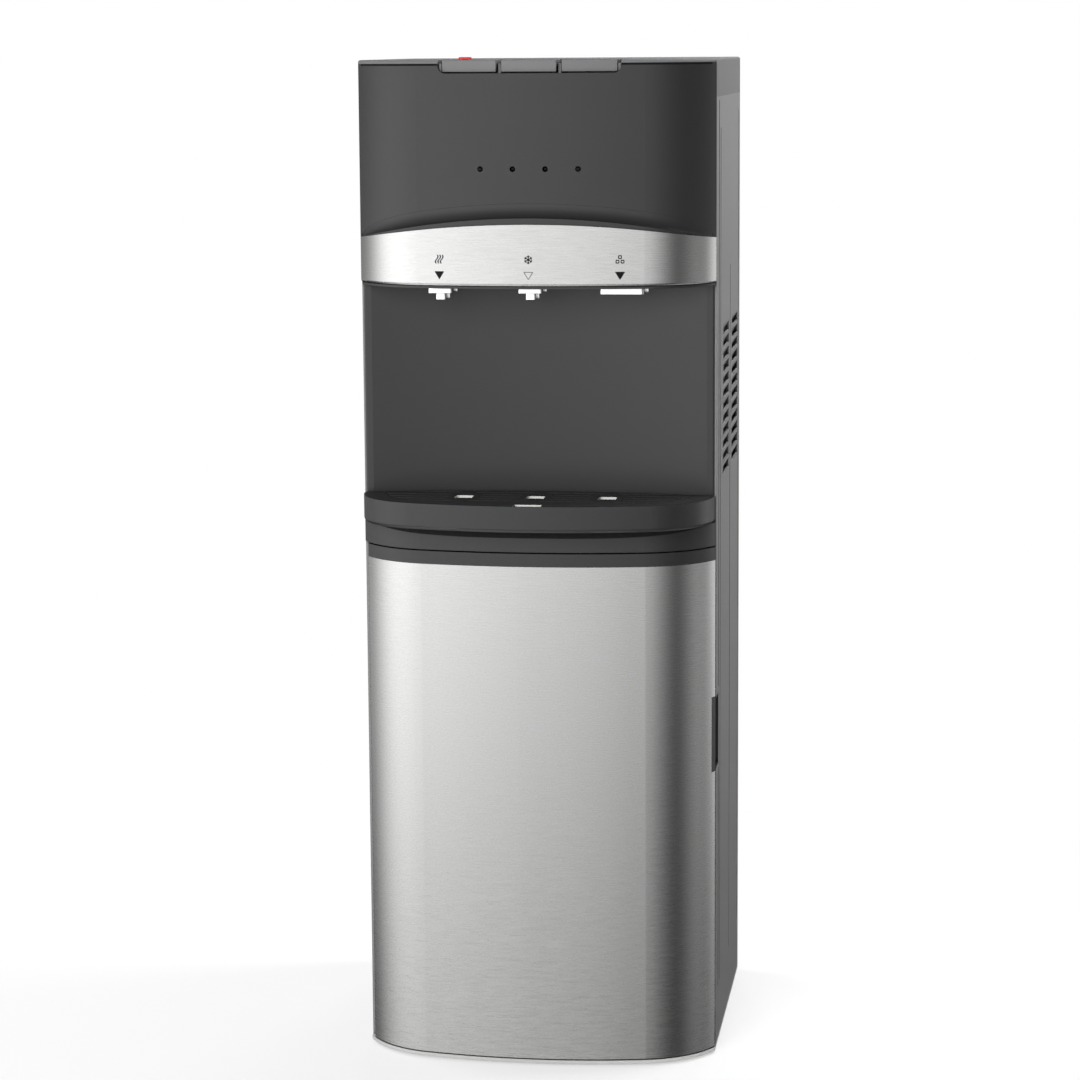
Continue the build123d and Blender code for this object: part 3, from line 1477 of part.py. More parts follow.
tray_motor_side = 30.0
tray_motor_depth = 26.0
with BuildPart() as ice_motors:
    with BuildSketch(Plane.XZ.offset(-bin_end)):
        with Locations((outlet_pitch, auger_z)):
            RectangleRounded(motor_side, motor_side, motor_round)
    extrude(amount=-motor_depth)
    with BuildSketch(Plane.XZ.offset(-bin_end)):
        with Locations((outlet_pitch, auger_z)):
            Circle(shaft + run_gap)
    extrude(amount=-shaft_bite - seat_gap, mode=Mode.SUBTRACT)
    with BuildSketch(Plane.YZ.offset(outlet_pitch - bin_half)):
        with Locations((tilt_y, mould_z)):
            RectangleRounded(tray_motor_side, tray_motor_side, motor_round)
    extrude(amount=-tray_motor_depth)
save(ice_motors, "ice_motors")
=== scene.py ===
import json
import math

import bmesh
import bpy
from bpy.props import FloatProperty, FloatVectorProperty, IntProperty, PointerProperty
from mathutils import Matrix, Vector


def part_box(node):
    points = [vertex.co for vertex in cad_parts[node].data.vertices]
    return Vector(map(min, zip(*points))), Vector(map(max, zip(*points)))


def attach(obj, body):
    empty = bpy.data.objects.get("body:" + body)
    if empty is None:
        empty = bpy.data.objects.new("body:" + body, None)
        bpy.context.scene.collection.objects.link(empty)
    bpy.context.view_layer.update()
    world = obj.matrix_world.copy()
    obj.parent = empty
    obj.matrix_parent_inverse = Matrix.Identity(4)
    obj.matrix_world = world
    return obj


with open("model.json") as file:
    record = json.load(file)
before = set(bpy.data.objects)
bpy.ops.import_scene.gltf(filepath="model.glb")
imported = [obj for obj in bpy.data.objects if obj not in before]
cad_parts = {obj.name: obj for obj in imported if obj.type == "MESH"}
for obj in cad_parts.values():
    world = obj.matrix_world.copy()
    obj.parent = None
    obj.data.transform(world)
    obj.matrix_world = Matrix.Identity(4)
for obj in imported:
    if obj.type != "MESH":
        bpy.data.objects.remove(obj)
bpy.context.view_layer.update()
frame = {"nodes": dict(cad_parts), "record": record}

bl_info = {
    "name": "Water Dispenser",
    "version": (1, 0, 0),
    "blender": (4, 5, 0),
    "location": "View3D > Sidebar > Dispenser",
    "description": "Finishes and small parts of a bottom-loading water dispenser, set on its CAD frame",
    "category": "Add Mesh",
}

MM = 0.001

# Bowed front outline of the cabinet, as the solids have it
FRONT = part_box("side_panel_right")[0].y
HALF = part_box("side_panel_right")[1].x
BOW_RADIUS = 580 * MM
BOW_BLEND = 120 * MM
EDGE_FLAT = 5 * MM
HEAD_APEX = FRONT - 66 * MM
LIP_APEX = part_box("head_panel")[0].y
BAND_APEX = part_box("steel_band")[0].y
TRIM_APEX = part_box("mid_trim")[0].y
TRIM_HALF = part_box("mid_trim")[1].x
BAND_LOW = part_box("steel_band")[0].z
BAND_END = BAND_LOW + 48 * MM
LIP_RISE = 23 * MM

# Turns a shape that faces up so that it faces the front or the rear
FACING_FRONT = Matrix.Rotation(math.pi / 2, 4, "X")
FACING_REAR = Matrix.Rotation(-math.pi / 2, 4, "X")

# How near a neighbour has to be for painted shade to darken the gap, the openness at which that starts
# and ends, and the tone that is left in a closed gap
GAP_REACH = 5 * MM
GAP_OPEN = 0.85
GAP_SHUT = 0.4
GAP_TONE = 0.25
# Rays that the gap and edge nodes send out
NODE_RAYS = 4
# Levels between which most of a noise pattern lies
PATTERN_LOW = 0.3
PATTERN_HIGH = 0.7
# Sockets of a Mix node in its colour mode, by number because several share a name
MIX_FACTOR = 0
MIX_A = 6
MIX_B = 7
MIX_RESULT = 2

# Reflected room: its radius in metres, and a level that no wall of it passes
ROOM_RADIUS = 7.0
ROOM_PEAK = 2.0
# Its level by bearing in degrees to the right of the front, low down: a wide bright wall on the left,
# a dark gap on the right, a dim strip and a narrow bright card behind it
ROOM_LOW = (
    *((-180, 0.12), (-140, 0.22), (-112, 0.5), (-90, 1.3), (-68, 1.7), (-40, 1.45)),
    *((-12, 1.05), (10, 0.8), (26, 0.36), (50, 0.05), (66, 0.15), (86, 0.65)),
    *((105, 0.3), (124, 1.3), (145, 0.2), (180, 0.12)),
)
# The same higher up: the bright wall reaches further round to the right, and the strip is missing
ROOM_HIGH = (
    *((-180, 0.12), (-120, 0.15), (-98, 0.4), (-80, 1.1), (-60, 1.4), (-40, 1.35)),
    *((-12, 1.1), (10, 1.0), (28, 0.85), (46, 0.3), (62, 0.05), (86, 0.1)),
    *((108, 0.12), (124, 0.8), (145, 0.3), (180, 0.12)),
)
# Heights above the floor in metres between which the low walls change to the high ones
ROOM_CHANGE = (-0.3, 0.6)
# Its level by height above the floor in metres: bright beside the object, dim overhead, a dark belt below
# the floor that shades the door's foot, and bright again far down, so steel seen from above isn't black
ROOM_UPRIGHT = (
    *((-7.0, 1.0), (-4.6, 1.0), (-3.2, 0.0), (-1.65, 0.0)),
    *((-0.75, 1.65), (2.0, 1.65), (3.4, 0.2), (7.0, 0.1)),
)


def linear(code):
    """sRGB hex code to a linear colour with alpha."""
    shares = [int(code[i : i + 2], 16) / 255 for i in (1, 3, 5)]
    return [s / 12.92 if s <= 0.04045 else ((s + 0.055) / 1.055) ** 2.4 for s in shares] + [1.0]


def colour(name, code, about):
    return FloatVectorProperty(
        name=name, description=about, subtype="COLOR", size=4, min=0.0, max=1.0, default=linear(code)
    )


def length(name, millimetres, about):
    return FloatProperty(
        name=name, description=about, unit="LENGTH", subtype="DISTANCE", min=0.0, default=millimetres * MM
    )


def rotation(name, degrees, about):
    return FloatProperty(name=name, description=about, subtype="ANGLE", default=math.radians(degrees))


class DispenserColours(bpy.types.PropertyGroup):
    """Colours of the finishes"""

    black: colour("Black plastic", "#252526", "Head, alcove, trim and tray")
    key: colour("Key plastic", "#6A6A6B", "Keys and the posts between them")
    paint: colour("Side paint", "#7E7E7E", "Powder coat of the side and back panels")
    cover: colour("Cover plastic", "#707071", "Top cover")
    steel: colour("Brushed steel", "#CBCBCA", "Door skin and band")
    base: colour("Base plastic", "#C4C4C2", "Base plate under the door")
    red: colour("Red plastic", "#E3241B", "Child lock and hot switch")
    print_black: colour("Symbol ink", "#0C0C0D", "Filled symbols on the band")
    print_grey: colour("Outline ink", "#5E5E60", "Outlined symbol on the band")


class DispenserSizes(bpy.types.PropertyGroup):
    """Sizes of the small parts"""

    symbol_height: length("Symbol height", 9.0, "Height of the symbols on the band")
    symbol_stroke: length("Symbol stroke", 1.25, "Line width of the symbols")
    arrow_width: length("Arrow width", 10.5, "Width of the triangles under the symbols")
    outlet_pitch: length("Outlet pitch", 95.0, "Distance between outlets")
    symbol_level: length("Symbol level", 869.0, "Height of the symbols above the floor")
    arrow_level: length("Arrow level", 853.5, "Height of the triangles above the floor")
    # Height of the dark strip under the tray that paints its shadow
    tray_shade_height: length("Tray gasket", 9.5, "Height of the strip under the tray")
    # Height of the dark strips that paint the shade line under the cover
    cover_shade_height: length("Cover seal", 2.0, "Height of the strips between head and cover")
    grid_hole_pitch: length("Grid hole pitch", 77.0, "Distance between the openings of the drip grid")
    grid_hole_width: length("Grid hole width", 20.0, "Width of an opening in the drip grid")
    grid_hole_depth: length("Grid hole depth", 26.0, "Depth of an opening in the drip grid")
    # Height of the white sleeves that paint highlights in the grid openings
    glint_sleeve_height: length("Sleeve height", 2.6, "Height of the sleeves in the openings of the drip grid")
    grid_notch_width: length("Grid notch width", 30.0, "Width of the finger notch in the drip grid")
    screw_radius: length("Screw head radius", 3.3, "Radius of the pan-head screws")
    screw_height: length("Screw head height", 2.0, "Height of the pan-head screws")
    fillet_height: length("Head fillet", 15.0, "Height of the hollow that runs out to the lip")
    grain_length: length("Brush length", 17.0, "Length of one stroke of the brushed grain")
    grain_width: length("Brush width", 0.9, "Width of one stroke of the brushed grain")
    mould_grit: length("Mould grit", 0.9, "Grain of moulded plastic, coarsened so that it shows")
    edge_round: length("Edge round", 0.6, "Softened edge of moulded and folded parts")
    # Width of the dark strips that paint shade lines on the side panels
    edge_shade_width: length("Edge line", 4.0, "Width of the sealing strips on the side panels")


class DispenserStage(bpy.types.PropertyGroup):
    """Camera and lamps"""

    eye: FloatVectorProperty(
        name="Camera place",
        description="Where the camera stands",
        subtype="TRANSLATION",
        size=3,
        default=(0.4685, -3.4975, 1.0895),
    )
    yaw: rotation("Yaw", 7.865, "Turn to the left")
    pitch: rotation("Pitch", -8.739, "Tilt up")
    roll: rotation("Roll", 0.377, "Roll")
    lens: FloatProperty(name="Lens", description="Focal length in millimetres", default=107.37)
    ambient: FloatProperty(name="Ambient", description="Strength of the even light", default=0.1)
    key_power: FloatProperty(name="Front lamp", description="Power of the front softbox", default=90.0)
    side_power: FloatProperty(name="Side lamp", description="Power of the side softbox", default=27.0)
    fill_power: FloatProperty(
        name="Fill lamps", description="Power of the left and rear softboxes", default=45.0
    )
    floor_reach: IntProperty(name="Floor", description="Radius of the floor in metres", default=9)


def add_node(tree, kind, inputs=None, **settings):
    """Adds a node; an input that is a socket is linked, any other is set."""
    made = tree.nodes.new(kind)
    for name, value in settings.items():
        setattr(made, name, value)
    for name, value in (inputs or {}).items():
        if isinstance(value, bpy.types.NodeSocket):
            tree.links.new(value, made.inputs[name])
        else:
            made.inputs[name].default_value = value
    return made


def per(millimetres):
    """Texture scale whose features are this size."""
    return 1.0 / (millimetres * MM)


def shaded(base, share):
    """A colour made lighter or darker by a share."""
    return [min(1.0, c * share) for c in base[:3]] + [1.0]


def begin(name, sockets):
    """A material with its shader's constants set, its node tree and its Object coordinates."""
    material = bpy.data.materials.new(name)
    material.use_nodes = True
    tree = material.node_tree
    shader = tree.nodes["Principled BSDF"]
    for socket, value in sockets.items():
        shader.inputs[socket].default_value = value
    place = add_node(tree, "ShaderNodeTexCoord").outputs["Object"]
    return material, tree, shader, place


def mottle(tree, shader, fac, base, spread):
    """Base colour that drifts a little either side of its value, with shade painted into gaps and grooves.
    """
    tones = {MIX_FACTOR: fac, MIX_A: shaded(base, 1 - spread), MIX_B: shaded(base, 1 + spread)}
    tint = add_node(tree, "ShaderNodeMix", tones, data_type="RGBA")
    # Ambient occlusion darkens the base colour in gaps and grooves: painted shade
    near = add_node(tree, "ShaderNodeAmbientOcclusion", {"Distance": GAP_REACH}, samples=NODE_RAYS)
    span = {"Value": near.outputs["AO"], "From Min": GAP_SHUT, "From Max": GAP_OPEN, "To Min": GAP_TONE}
    gap = add_node(tree, "ShaderNodeMapRange", span)
    painted_shade = {MIX_FACTOR: 1.0, MIX_A: tint.outputs[MIX_RESULT], MIX_B: gap.outputs["Result"]}
    deep = add_node(tree, "ShaderNodeMix", painted_shade, data_type="RGBA", blend_type="MULTIPLY")
    tree.links.new(deep.outputs[MIX_RESULT], shader.inputs["Base Color"])


def vary_roughness(tree, shader, fac, low, high):
    """Roughness that runs from low to high with a pattern."""
    span = {"Value": fac, "From Min": PATTERN_LOW, "From Max": PATTERN_HIGH, "To Min": low, "To Max": high}
    level = add_node(tree, "ShaderNodeMapRange", span)
    tree.links.new(level.outputs["Result"], shader.inputs["Roughness"])


def relief(tree, shader, fac, depth, strength, edge):
    """Bump of a depth in millimetres over softened edges."""
    soft = add_node(tree, "ShaderNodeBevel", {"Radius": edge}, samples=NODE_RAYS)
    shape = {"Strength": strength, "Distance": depth * MM, "Height": fac, "Normal": soft.outputs["Normal"]}
    bump = add_node(tree, "ShaderNodeBump", shape)
    tree.links.new(bump.outputs["Normal"], shader.inputs["Normal"])


def moulded(name, base, rough, grit, edge, depth=0.03, sockets=None):
    """Moulded plastic: an even spark-eroded grain that breaks up the gloss, and faint flow clouds."""
    cloud = 70.0
    material, tree, shader, place = begin(name, {"Roughness": rough, "IOR": 1.54, **(sockets or {})})
    grain = add_node(tree, "ShaderNodeTexNoise", {"Vector": place, "Scale": per(grit), "Detail": 3.0})
    flow = add_node(tree, "ShaderNodeTexNoise", {"Vector": place, "Scale": per(cloud), "Detail": 2.0})
    mottle(tree, shader, flow.outputs["Fac"], base, 0.05)
    vary_roughness(tree, shader, grain.outputs["Fac"], rough - 0.05, rough + 0.06)
    relief(tree, shader, grain.outputs["Fac"], depth, 0.35, edge)
    return material


def brushed(name, base, sizes, edge):
    """Stainless sheet brushed across the front: short level strokes stretch every reflection upright."""
    rough = 0.27
    surface = {"Metallic": 1.0, "Roughness": rough, "Anisotropic": 0.82, "Anisotropic Rotation": 0.25}
    material, tree, shader, place = begin(name, surface)
    run, width = sizes.grain_length, sizes.grain_width
    # Scale across and up, detail and waver of the strokes, and of the longer and finer hairs among them
    coarse = (1.0 / run, 1.0 / width, 3.0, 0.6)
    fine = (0.6 / run, 3.2 / width, 2.0, 0.0)
    layers = []
    for across, up, detail, waver in (coarse, fine):
        along = add_node(tree, "ShaderNodeMapping", {"Vector": place, "Scale": (across, across, up)})
        noise = {"Vector": along.outputs["Vector"], "Scale": 1.0, "Detail": detail, "Distortion": waver}
        layers.append(add_node(tree, "ShaderNodeTexNoise", noise).outputs["Fac"])
    strokes, hairs = layers
    both = add_node(tree, "ShaderNodeMix", {"Factor": 0.4, "A": strokes, "B": hairs}, data_type="FLOAT")
    grain = both.outputs["Result"]
    mottle(tree, shader, grain, base, 0.06)
    vary_roughness(tree, shader, grain, rough - 0.04, rough + 0.05)
    relief(tree, shader, grain, 0.012, 0.2, edge)
    level = add_node(tree, "ShaderNodeTangent", direction_type="RADIAL", axis="Z")
    tree.links.new(level.outputs["Tangent"], shader.inputs["Tangent"])
    return material


def coated(name, base, edge, rough=0.4, peel=1.6):
    """Powder-coated sheet: satin, with a fine orange peel left by the flowing powder."""
    cloud = 90.0
    material, tree, shader, place = begin(name, {"Roughness": rough, "IOR": 1.5})
    skin = add_node(tree, "ShaderNodeTexNoise", {"Vector": place, "Scale": per(peel), "Detail": 2.0})
    drift = add_node(tree, "ShaderNodeTexNoise", {"Vector": place, "Scale": per(cloud), "Detail": 2.0})
    mottle(tree, shader, drift.outputs["Fac"], base, 0.03)
    vary_roughness(tree, shader, skin.outputs["Fac"], rough - 0.04, rough + 0.06)
    relief(tree, shader, skin.outputs["Fac"], 0.03, 0.3, edge)
    return material


def drawn_metal(name, base, rough, streak, edge):
    """Bare metal with faint drawing lines along its height."""
    stretch = 25
    material, tree, shader, place = begin(name, {"Metallic": 1.0, "Roughness": rough})
    scale = (per(streak), per(streak), per(streak * stretch))
    along = add_node(tree, "ShaderNodeMapping", {"Vector": place, "Scale": scale})
    noise = {"Vector": along.outputs["Vector"], "Scale": 1.0, "Detail": 2.0}
    lines = add_node(tree, "ShaderNodeTexNoise", noise)
    mottle(tree, shader, lines.outputs["Fac"], base, 0.06)
    vary_roughness(tree, shader, lines.outputs["Fac"], rough * 0.8, rough * 1.3)
    relief(tree, shader, lines.outputs["Fac"], 0.01, 0.2, edge)
    return material


def spangled(name, base, edge):
    """Hot-dip galvanised sheet: zinc crystals a few millimetres across, each with its own tone."""
    spangle = 7.0
    material, tree, shader, place = begin(name, {"Metallic": 1.0, "Roughness": 0.45})
    crystal = add_node(tree, "ShaderNodeTexVoronoi", {"Vector": place, "Scale": per(spangle)})
    tone = add_node(tree, "ShaderNodeRGBToBW", {"Color": crystal.outputs["Color"]})
    mottle(tree, shader, tone.outputs["Val"], base, 0.12)
    vary_roughness(tree, shader, tone.outputs["Val"], 0.38, 0.55)
    relief(tree, shader, crystal.outputs["Distance"], 0.02, 0.15, edge)
    return material


def beaded_foam(name, base):
    """Expanded polystyrene: fused beads about four millimetres across, with soft edges."""
    bead, edge = 4.0, 0.8 * MM
    material, tree, shader, place = begin(name, {"Roughness": 0.85, "IOR": 1.4})
    beads = add_node(tree, "ShaderNodeTexVoronoi", {"Vector": place, "Scale": per(bead)})
    mottle(tree, shader, beads.outputs["Distance"], base, 0.06)
    relief(tree, shader, beads.outputs["Distance"], 0.3, 0.5, edge)
    return material


FINISH_OF = {}


def make_finishes(scene):
    """Every finish by the record's material slot; the inks and the painted shade black have names of their
    own.
    """
    tones, sizes = scene.dispenser_colours, scene.dispenser_sizes
    edge, grit = sizes.edge_round, sizes.mould_grit / MM
    ink_grit, ink_edge = 0.6, 0.05 * MM
    matt = {"Specular IOR Level": 0.15}
    milky = {"Subsurface Weight": 0.25}
    smoke = linear("#0B0B0C")
    FINISH_OF.update(
        {
            "black_plastic": moulded("ABS_black_satin", tones.black, 0.38, grit, edge),
            "key_grey": moulded("ABS_grey_moulded_keys", tones.key, 0.38, grit, edge),
            "cover_grey": moulded("ABS_grey_moulded_cover", tones.cover, 0.45, grit, edge, sockets=matt),
            "side_grey": coated("steel_sheet_powder_coated_grey", tones.paint, edge),
            "door_steel": brushed("stainless_steel_brushed", tones.steel, sizes, edge),
            "base_grey": moulded("polypropylene_light_grey_moulded", tones.base, 0.5, grit, edge),
            "red_plastic": moulded("ABS_red_polished", tones.red, 0.25, grit, edge, depth=0.01),
            "bright_metal": drawn_metal("zinc_die_cast_chromed", linear("#EDEEF0"), 0.09, 2.0, edge),
            "pin_steel": drawn_metal("steel_turned", linear("#A9A9A7"), 0.3, 0.6, edge),
            "tank_steel": drawn_metal("stainless_steel_deep_drawn", linear("#B9B8B4"), 0.26, 1.2, edge),
            "fin_aluminium": drawn_metal("aluminium_fin_mill_finish", linear("#C6C8CA"), 0.38, 1.0, edge),
            "inner_steel": spangled("steel_sheet_galvanised", linear("#A4A7A9"), edge),
            "inner_plastic": moulded("polystyrene_grey_vacuum_formed", linear("#A6A7A6"), 0.5, 1.5, edge),
            "white_plastic": moulded("polypropylene_white_moulded", linear("#DEDEDA"), 0.45, grit, edge),
            "machine_black": coated("enamel_black_stoved", linear("#1B1B1C"), edge, rough=0.3, peel=2.5),
            "rubber": moulded("rubber_black_moulded", linear("#202021"), 0.75, 1.4, edge, depth=0.06),
            # Near-black finish of the strips that paint shade under the tray and the cover
            "gasket": moulded("painted_shade_black", linear("#0B0B0C"), 0.9, 1.8, edge, depth=0.1),
            "hose": moulded("silicone_milky_extruded", linear("#D8D6CE"), 0.4, 3.0, edge, sockets=milky),
            "foam": beaded_foam("polystyrene_expanded_white", linear("#EEEDE8")),
            "board_green": moulded("glass_epoxy_board_green", linear("#1E5A34"), 0.4, 0.8, edge),
            "clear_plastic": moulded("polycarbonate_smoked", smoke, 0.3, grit, edge, 0.005, matt),
        }
    )
    for slot, name, tone in (
        ("symbol_ink", "ink_black_screen_printed", tones.print_black),
        ("outline_ink", "ink_grey_screen_printed", tones.print_grey),
    ):
        FINISH_OF[slot] = moulded(name, tone, 0.5, ink_grit, ink_edge, sockets=matt)


def bow_y(x, apex, reach=HALF):
    """Depth of a bowed front at x, for the outline that is apex deep in the middle and ends at reach."""
    centre = apex + BOW_RADIUS
    if abs(x) <= BOW_BLEND:
        return centre - math.sqrt(BOW_RADIUS**2 - x**2)
    blend_y = centre - math.sqrt(BOW_RADIUS**2 - BOW_BLEND**2)
    along, across = reach - BOW_BLEND, FRONT - EDGE_FLAT - blend_y
    normal_x, normal_y = -BOW_BLEND / BOW_RADIUS, (centre - blend_y) / BOW_RADIUS
    radius = (along**2 + across**2) / (2 * (normal_x * along + normal_y * across))
    corner_x, corner_y = BOW_BLEND + normal_x * radius, blend_y + normal_y * radius
    return corner_y - math.sqrt(radius**2 - (abs(x) - corner_x) ** 2)


def arch_z(x, rise):
    """Height of the arch that springs from the band's two ends."""
    radius = (HALF**2 + rise**2) / (2 * rise)
    return BAND_END + rise - radius + math.sqrt(radius**2 - x**2)


def piece(name, bm, slot, body, finish=None, smooth=35.0):
    """Turns a bmesh into a piece that rides on a body and takes its finish from a slot."""
    bmesh.ops.recalc_face_normals(bm, faces=bm.faces)
    mesh = bpy.data.meshes.new(name)
    bm.to_mesh(mesh)
    bm.free()
    mesh.shade_smooth()
    mesh.set_sharp_from_angle(angle=math.radians(smooth))
    mesh.materials.append(FINISH_OF[finish or slot])
    made = bpy.data.objects.new(name, mesh)
    bpy.context.scene.collection.objects.link(made)
    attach(made, body)


def turned(bm, profile, centre, facing=Matrix(), steps=24):
    """Spins a closed profile of (radius, height) corners and seats it at a point, turned to face a way."""
    corners = [bm.verts.new((radius, 0.0, height)) for radius, height in profile]
    edges = [bm.edges.new(ends) for ends in zip(corners, corners[1:] + corners[:1])]
    bmesh.ops.spin(
        bm,
        geom=corners + edges,
        cent=(0, 0, 0),
        axis=(0, 0, 1),
        angle=2 * math.pi,
        steps=steps,
        use_merge=True,
    )
    # The whole spun shape is what its profile's corners are joined to
    found = set(corners)
    fresh = set(corners)
    while fresh:
        near = {e.other_vert(v) for v in fresh for e in v.link_edges}
        fresh = near - found
        found |= near
    bmesh.ops.remove_doubles(bm, verts=list(found), dist=1e-7)
    kept = [v for v in found if v.is_valid]
    bmesh.ops.transform(bm, matrix=Matrix.Translation(centre) @ facing, verts=kept)


def block(bm, centre, size):
    """An upright box; returns its corners."""
    place = Matrix.Translation(centre) @ Matrix.Diagonal((*size, 1.0))
    return bmesh.ops.create_cube(bm, size=1.0, matrix=place)["verts"]


def edges_of(verts):
    """Every edge that ends at one of the corners."""
    return list({e for v in verts for e in v.link_edges})


def ease(bm, geom, offset, affect, segments):
    """Rounds off corners (VERTICES) or edges (EDGES)."""
    bmesh.ops.bevel(
        bm, geom=geom, offset=offset, affect=affect, segments=segments, profile=0.5, material=-1
    )


def leave_rim(bm, wall):
    """Cuts every flat face away but for a rim."""
    faces = bm.faces[:]
    bmesh.ops.inset_individual(bm, faces=faces, thickness=wall)
    bmesh.ops.delete(bm, geom=faces, context="FACES")


def draw_out(bm, step):
    """Extrudes every face by a step."""
    raised = bmesh.ops.extrude_face_region(bm, geom=bm.faces[:])
    moved = [e for e in raised["geom"] if isinstance(e, bmesh.types.BMVert)]
    bmesh.ops.translate(bm, vec=step, verts=moved)


class DISPENSER_OT_finishes(bpy.types.Operator):
    """Make the finishes and put them on the CAD pieces"""

    bl_idname = "dispenser.finishes"
    bl_label = "Finishes"

    def execute(self, context):
        make_finishes(context.scene)
        for part in frame["record"]["subparts"]:
            node = frame["nodes"][part["node"]]
            node.material_slots[0].material = FINISH_OF[part["material_slot"]]
        return {"FINISHED"}


class DISPENSER_OT_head_fillet(bpy.types.Operator):
    """Hollow that runs from the head panel out to its arched lip"""

    bl_idname = "dispenser.head_fillet"
    bl_label = "Head fillet"

    def execute(self, context):
        tall = context.scene.dispenser_sizes.fillet_height
        reach = HALF - 3 * MM
        bury = 0.3 * MM
        columns, rows = 120, 14
        bm = bmesh.new()
        bmesh.ops.create_grid(bm, x_segments=columns, y_segments=rows, size=1.0)
        for vert in bm.verts:
            x = vert.co.x * reach
            row = round((vert.co.y + 1) / 2 * rows)
            lip_y, head_y, low = bow_y(x, LIP_APEX), bow_y(x, HEAD_APEX), arch_z(x, LIP_RISE)
            deep = head_y - lip_y
            high = tall * deep / (HEAD_APEX - LIP_APEX)
            angle = min(row, rows - 2) / (rows - 2) * math.pi / 2
            vert.co = (x, lip_y + deep * math.cos(angle), low + high * (1 - math.sin(angle)))
            if row == rows - 1:
                vert.co = (x, head_y + bury, low - bury)
            if row == rows:
                vert.co = (x, head_y + bury, low + high)
        loop = [v for v in bm.verts if v.is_boundary]
        bmesh.ops.holes_fill(bm, edges=[e for e in bm.edges if e.is_boundary], sides=0)
        bmesh.ops.remove_doubles(bm, verts=loop, dist=1e-6)
        piece("head_fillet", bm, "black_plastic", "cabinet")
        return {"FINISHED"}


def in_front(x, z, angle=0.0, wide=1.0, tall=1.0):
    """Matrix that lays a flat XY shape on the front plane, turned and sized."""
    turn = Matrix.Rotation(-angle, 4, "Y") @ FACING_FRONT
    return Matrix.Translation((x, 0.0, z)) @ turn @ Matrix.Diagonal((wide, tall, 1.0, 1.0))


def stroke(bm, x, z, angle, run, width):
    """A straight line of a symbol that runs out from a point at an angle."""
    middle = run / 2
    place = in_front(x + middle * math.cos(angle), z + middle * math.sin(angle), angle, run, width)
    bmesh.ops.create_grid(bm, x_segments=1, y_segments=1, size=0.5, matrix=place)


def printed(name, bm, ink):
    """Gives a flat symbol its film of ink and lays it on the bowed band."""
    film = 0.12 * MM
    bury = 0.05 * MM
    draw_out(bm, (0, -film - bury, 0))
    for vert in bm.verts:
        vert.co.y += bow_y(vert.co.x, BAND_APEX) + bury
    piece(name, bm, "black_plastic", "cabinet", finish=ink)


def heat_symbol(sizes):
    """Three waves that rise side by side and lean a little."""
    tall, level = sizes.symbol_height, sizes.symbol_level
    spacing, swing, lean = 2.7 * MM, 1.1 * MM, 1.2 * MM
    bm = bmesh.new()
    for offset in (-1, 0, 1):
        place = in_front(-sizes.outlet_pitch + offset * spacing, level, 0.0, sizes.symbol_stroke, tall)
        wave = bmesh.ops.create_grid(bm, x_segments=1, y_segments=18, size=0.5, matrix=place)["verts"]
        for vert in wave:
            share = (vert.co.z - level) / tall
            vert.co.x += math.sin(share * 2 * math.pi) * swing + share * lean
    printed("heat_symbol", bm, "symbol_ink")


def snow_symbol(sizes):
    """Six arms with two twigs each."""
    tall, level = sizes.symbol_height, sizes.symbol_level
    arm, knee, twig = tall / 2, tall * 0.28, tall * 0.2
    arm_line, twig_line = sizes.symbol_stroke * 0.75, sizes.symbol_stroke * 0.7
    spread = math.radians(52)
    bm = bmesh.new()
    for index in range(6):
        angle = math.pi / 2 + index * math.pi / 3
        stroke(bm, 0.0, level, angle, arm, arm_line)
        knee_x, knee_z = knee * math.cos(angle), level + knee * math.sin(angle)
        for side in (-1, 1):
            stroke(bm, knee_x, knee_z, angle + side * spread, twig, twig_line)
    printed("snow_symbol", bm, "symbol_ink")


def ice_symbol(sizes):
    """Three outlined cubes, two below and one above."""
    tall, level = sizes.symbol_height, sizes.symbol_level
    cube, wall, corner = tall * 0.42, sizes.symbol_stroke * 0.75, 0.8 * MM
    bm = bmesh.new()
    for across, up in ((-0.29, -0.24), (0.29, -0.24), (0.0, 0.28)):
        place = in_front(sizes.outlet_pitch + across * tall, level + up * tall, 0.0, cube, cube)
        made = bmesh.ops.create_grid(bm, x_segments=1, y_segments=1, size=0.5, matrix=place)["verts"]
        ease(bm, made, corner, "VERTICES", 3)
    leave_rim(bm, wall)
    printed("ice_symbol", bm, "symbol_ink")


def arrow(name, x, sizes, filled):
    """A triangle that points down to an outlet, filled or in outline."""
    radius, squat, corner = sizes.arrow_width / math.sqrt(3), 0.94, 0.9 * MM
    place = in_front(x, sizes.arrow_level, 0.0, 1.0, squat) @ Matrix.Rotation(math.pi, 4, "Z")
    bm = bmesh.new()
    made = bmesh.ops.create_circle(bm, cap_ends=True, segments=3, radius=radius, matrix=place)["verts"]
    ease(bm, made, corner, "VERTICES", 4)
    if not filled:
        leave_rim(bm, sizes.symbol_stroke * 0.5)
    printed(name, bm, "symbol_ink" if filled else "outline_ink")


class DISPENSER_OT_band_symbols(bpy.types.Operator):
    """Printed symbols for hot, cold and ice, with a triangle under each"""

    bl_idname = "dispenser.band_symbols"
    bl_label = "Band symbols"

    def execute(self, context):
        sizes = context.scene.dispenser_sizes
        heat_symbol(sizes)
        snow_symbol(sizes)
        ice_symbol(sizes)
        arrow("hot_arrow", -sizes.outlet_pitch, sizes, True)
        arrow("cold_arrow", 0.0, sizes, False)
        arrow("ice_arrow", sizes.outlet_pitch, sizes, True)
        return {"FINISHED"}


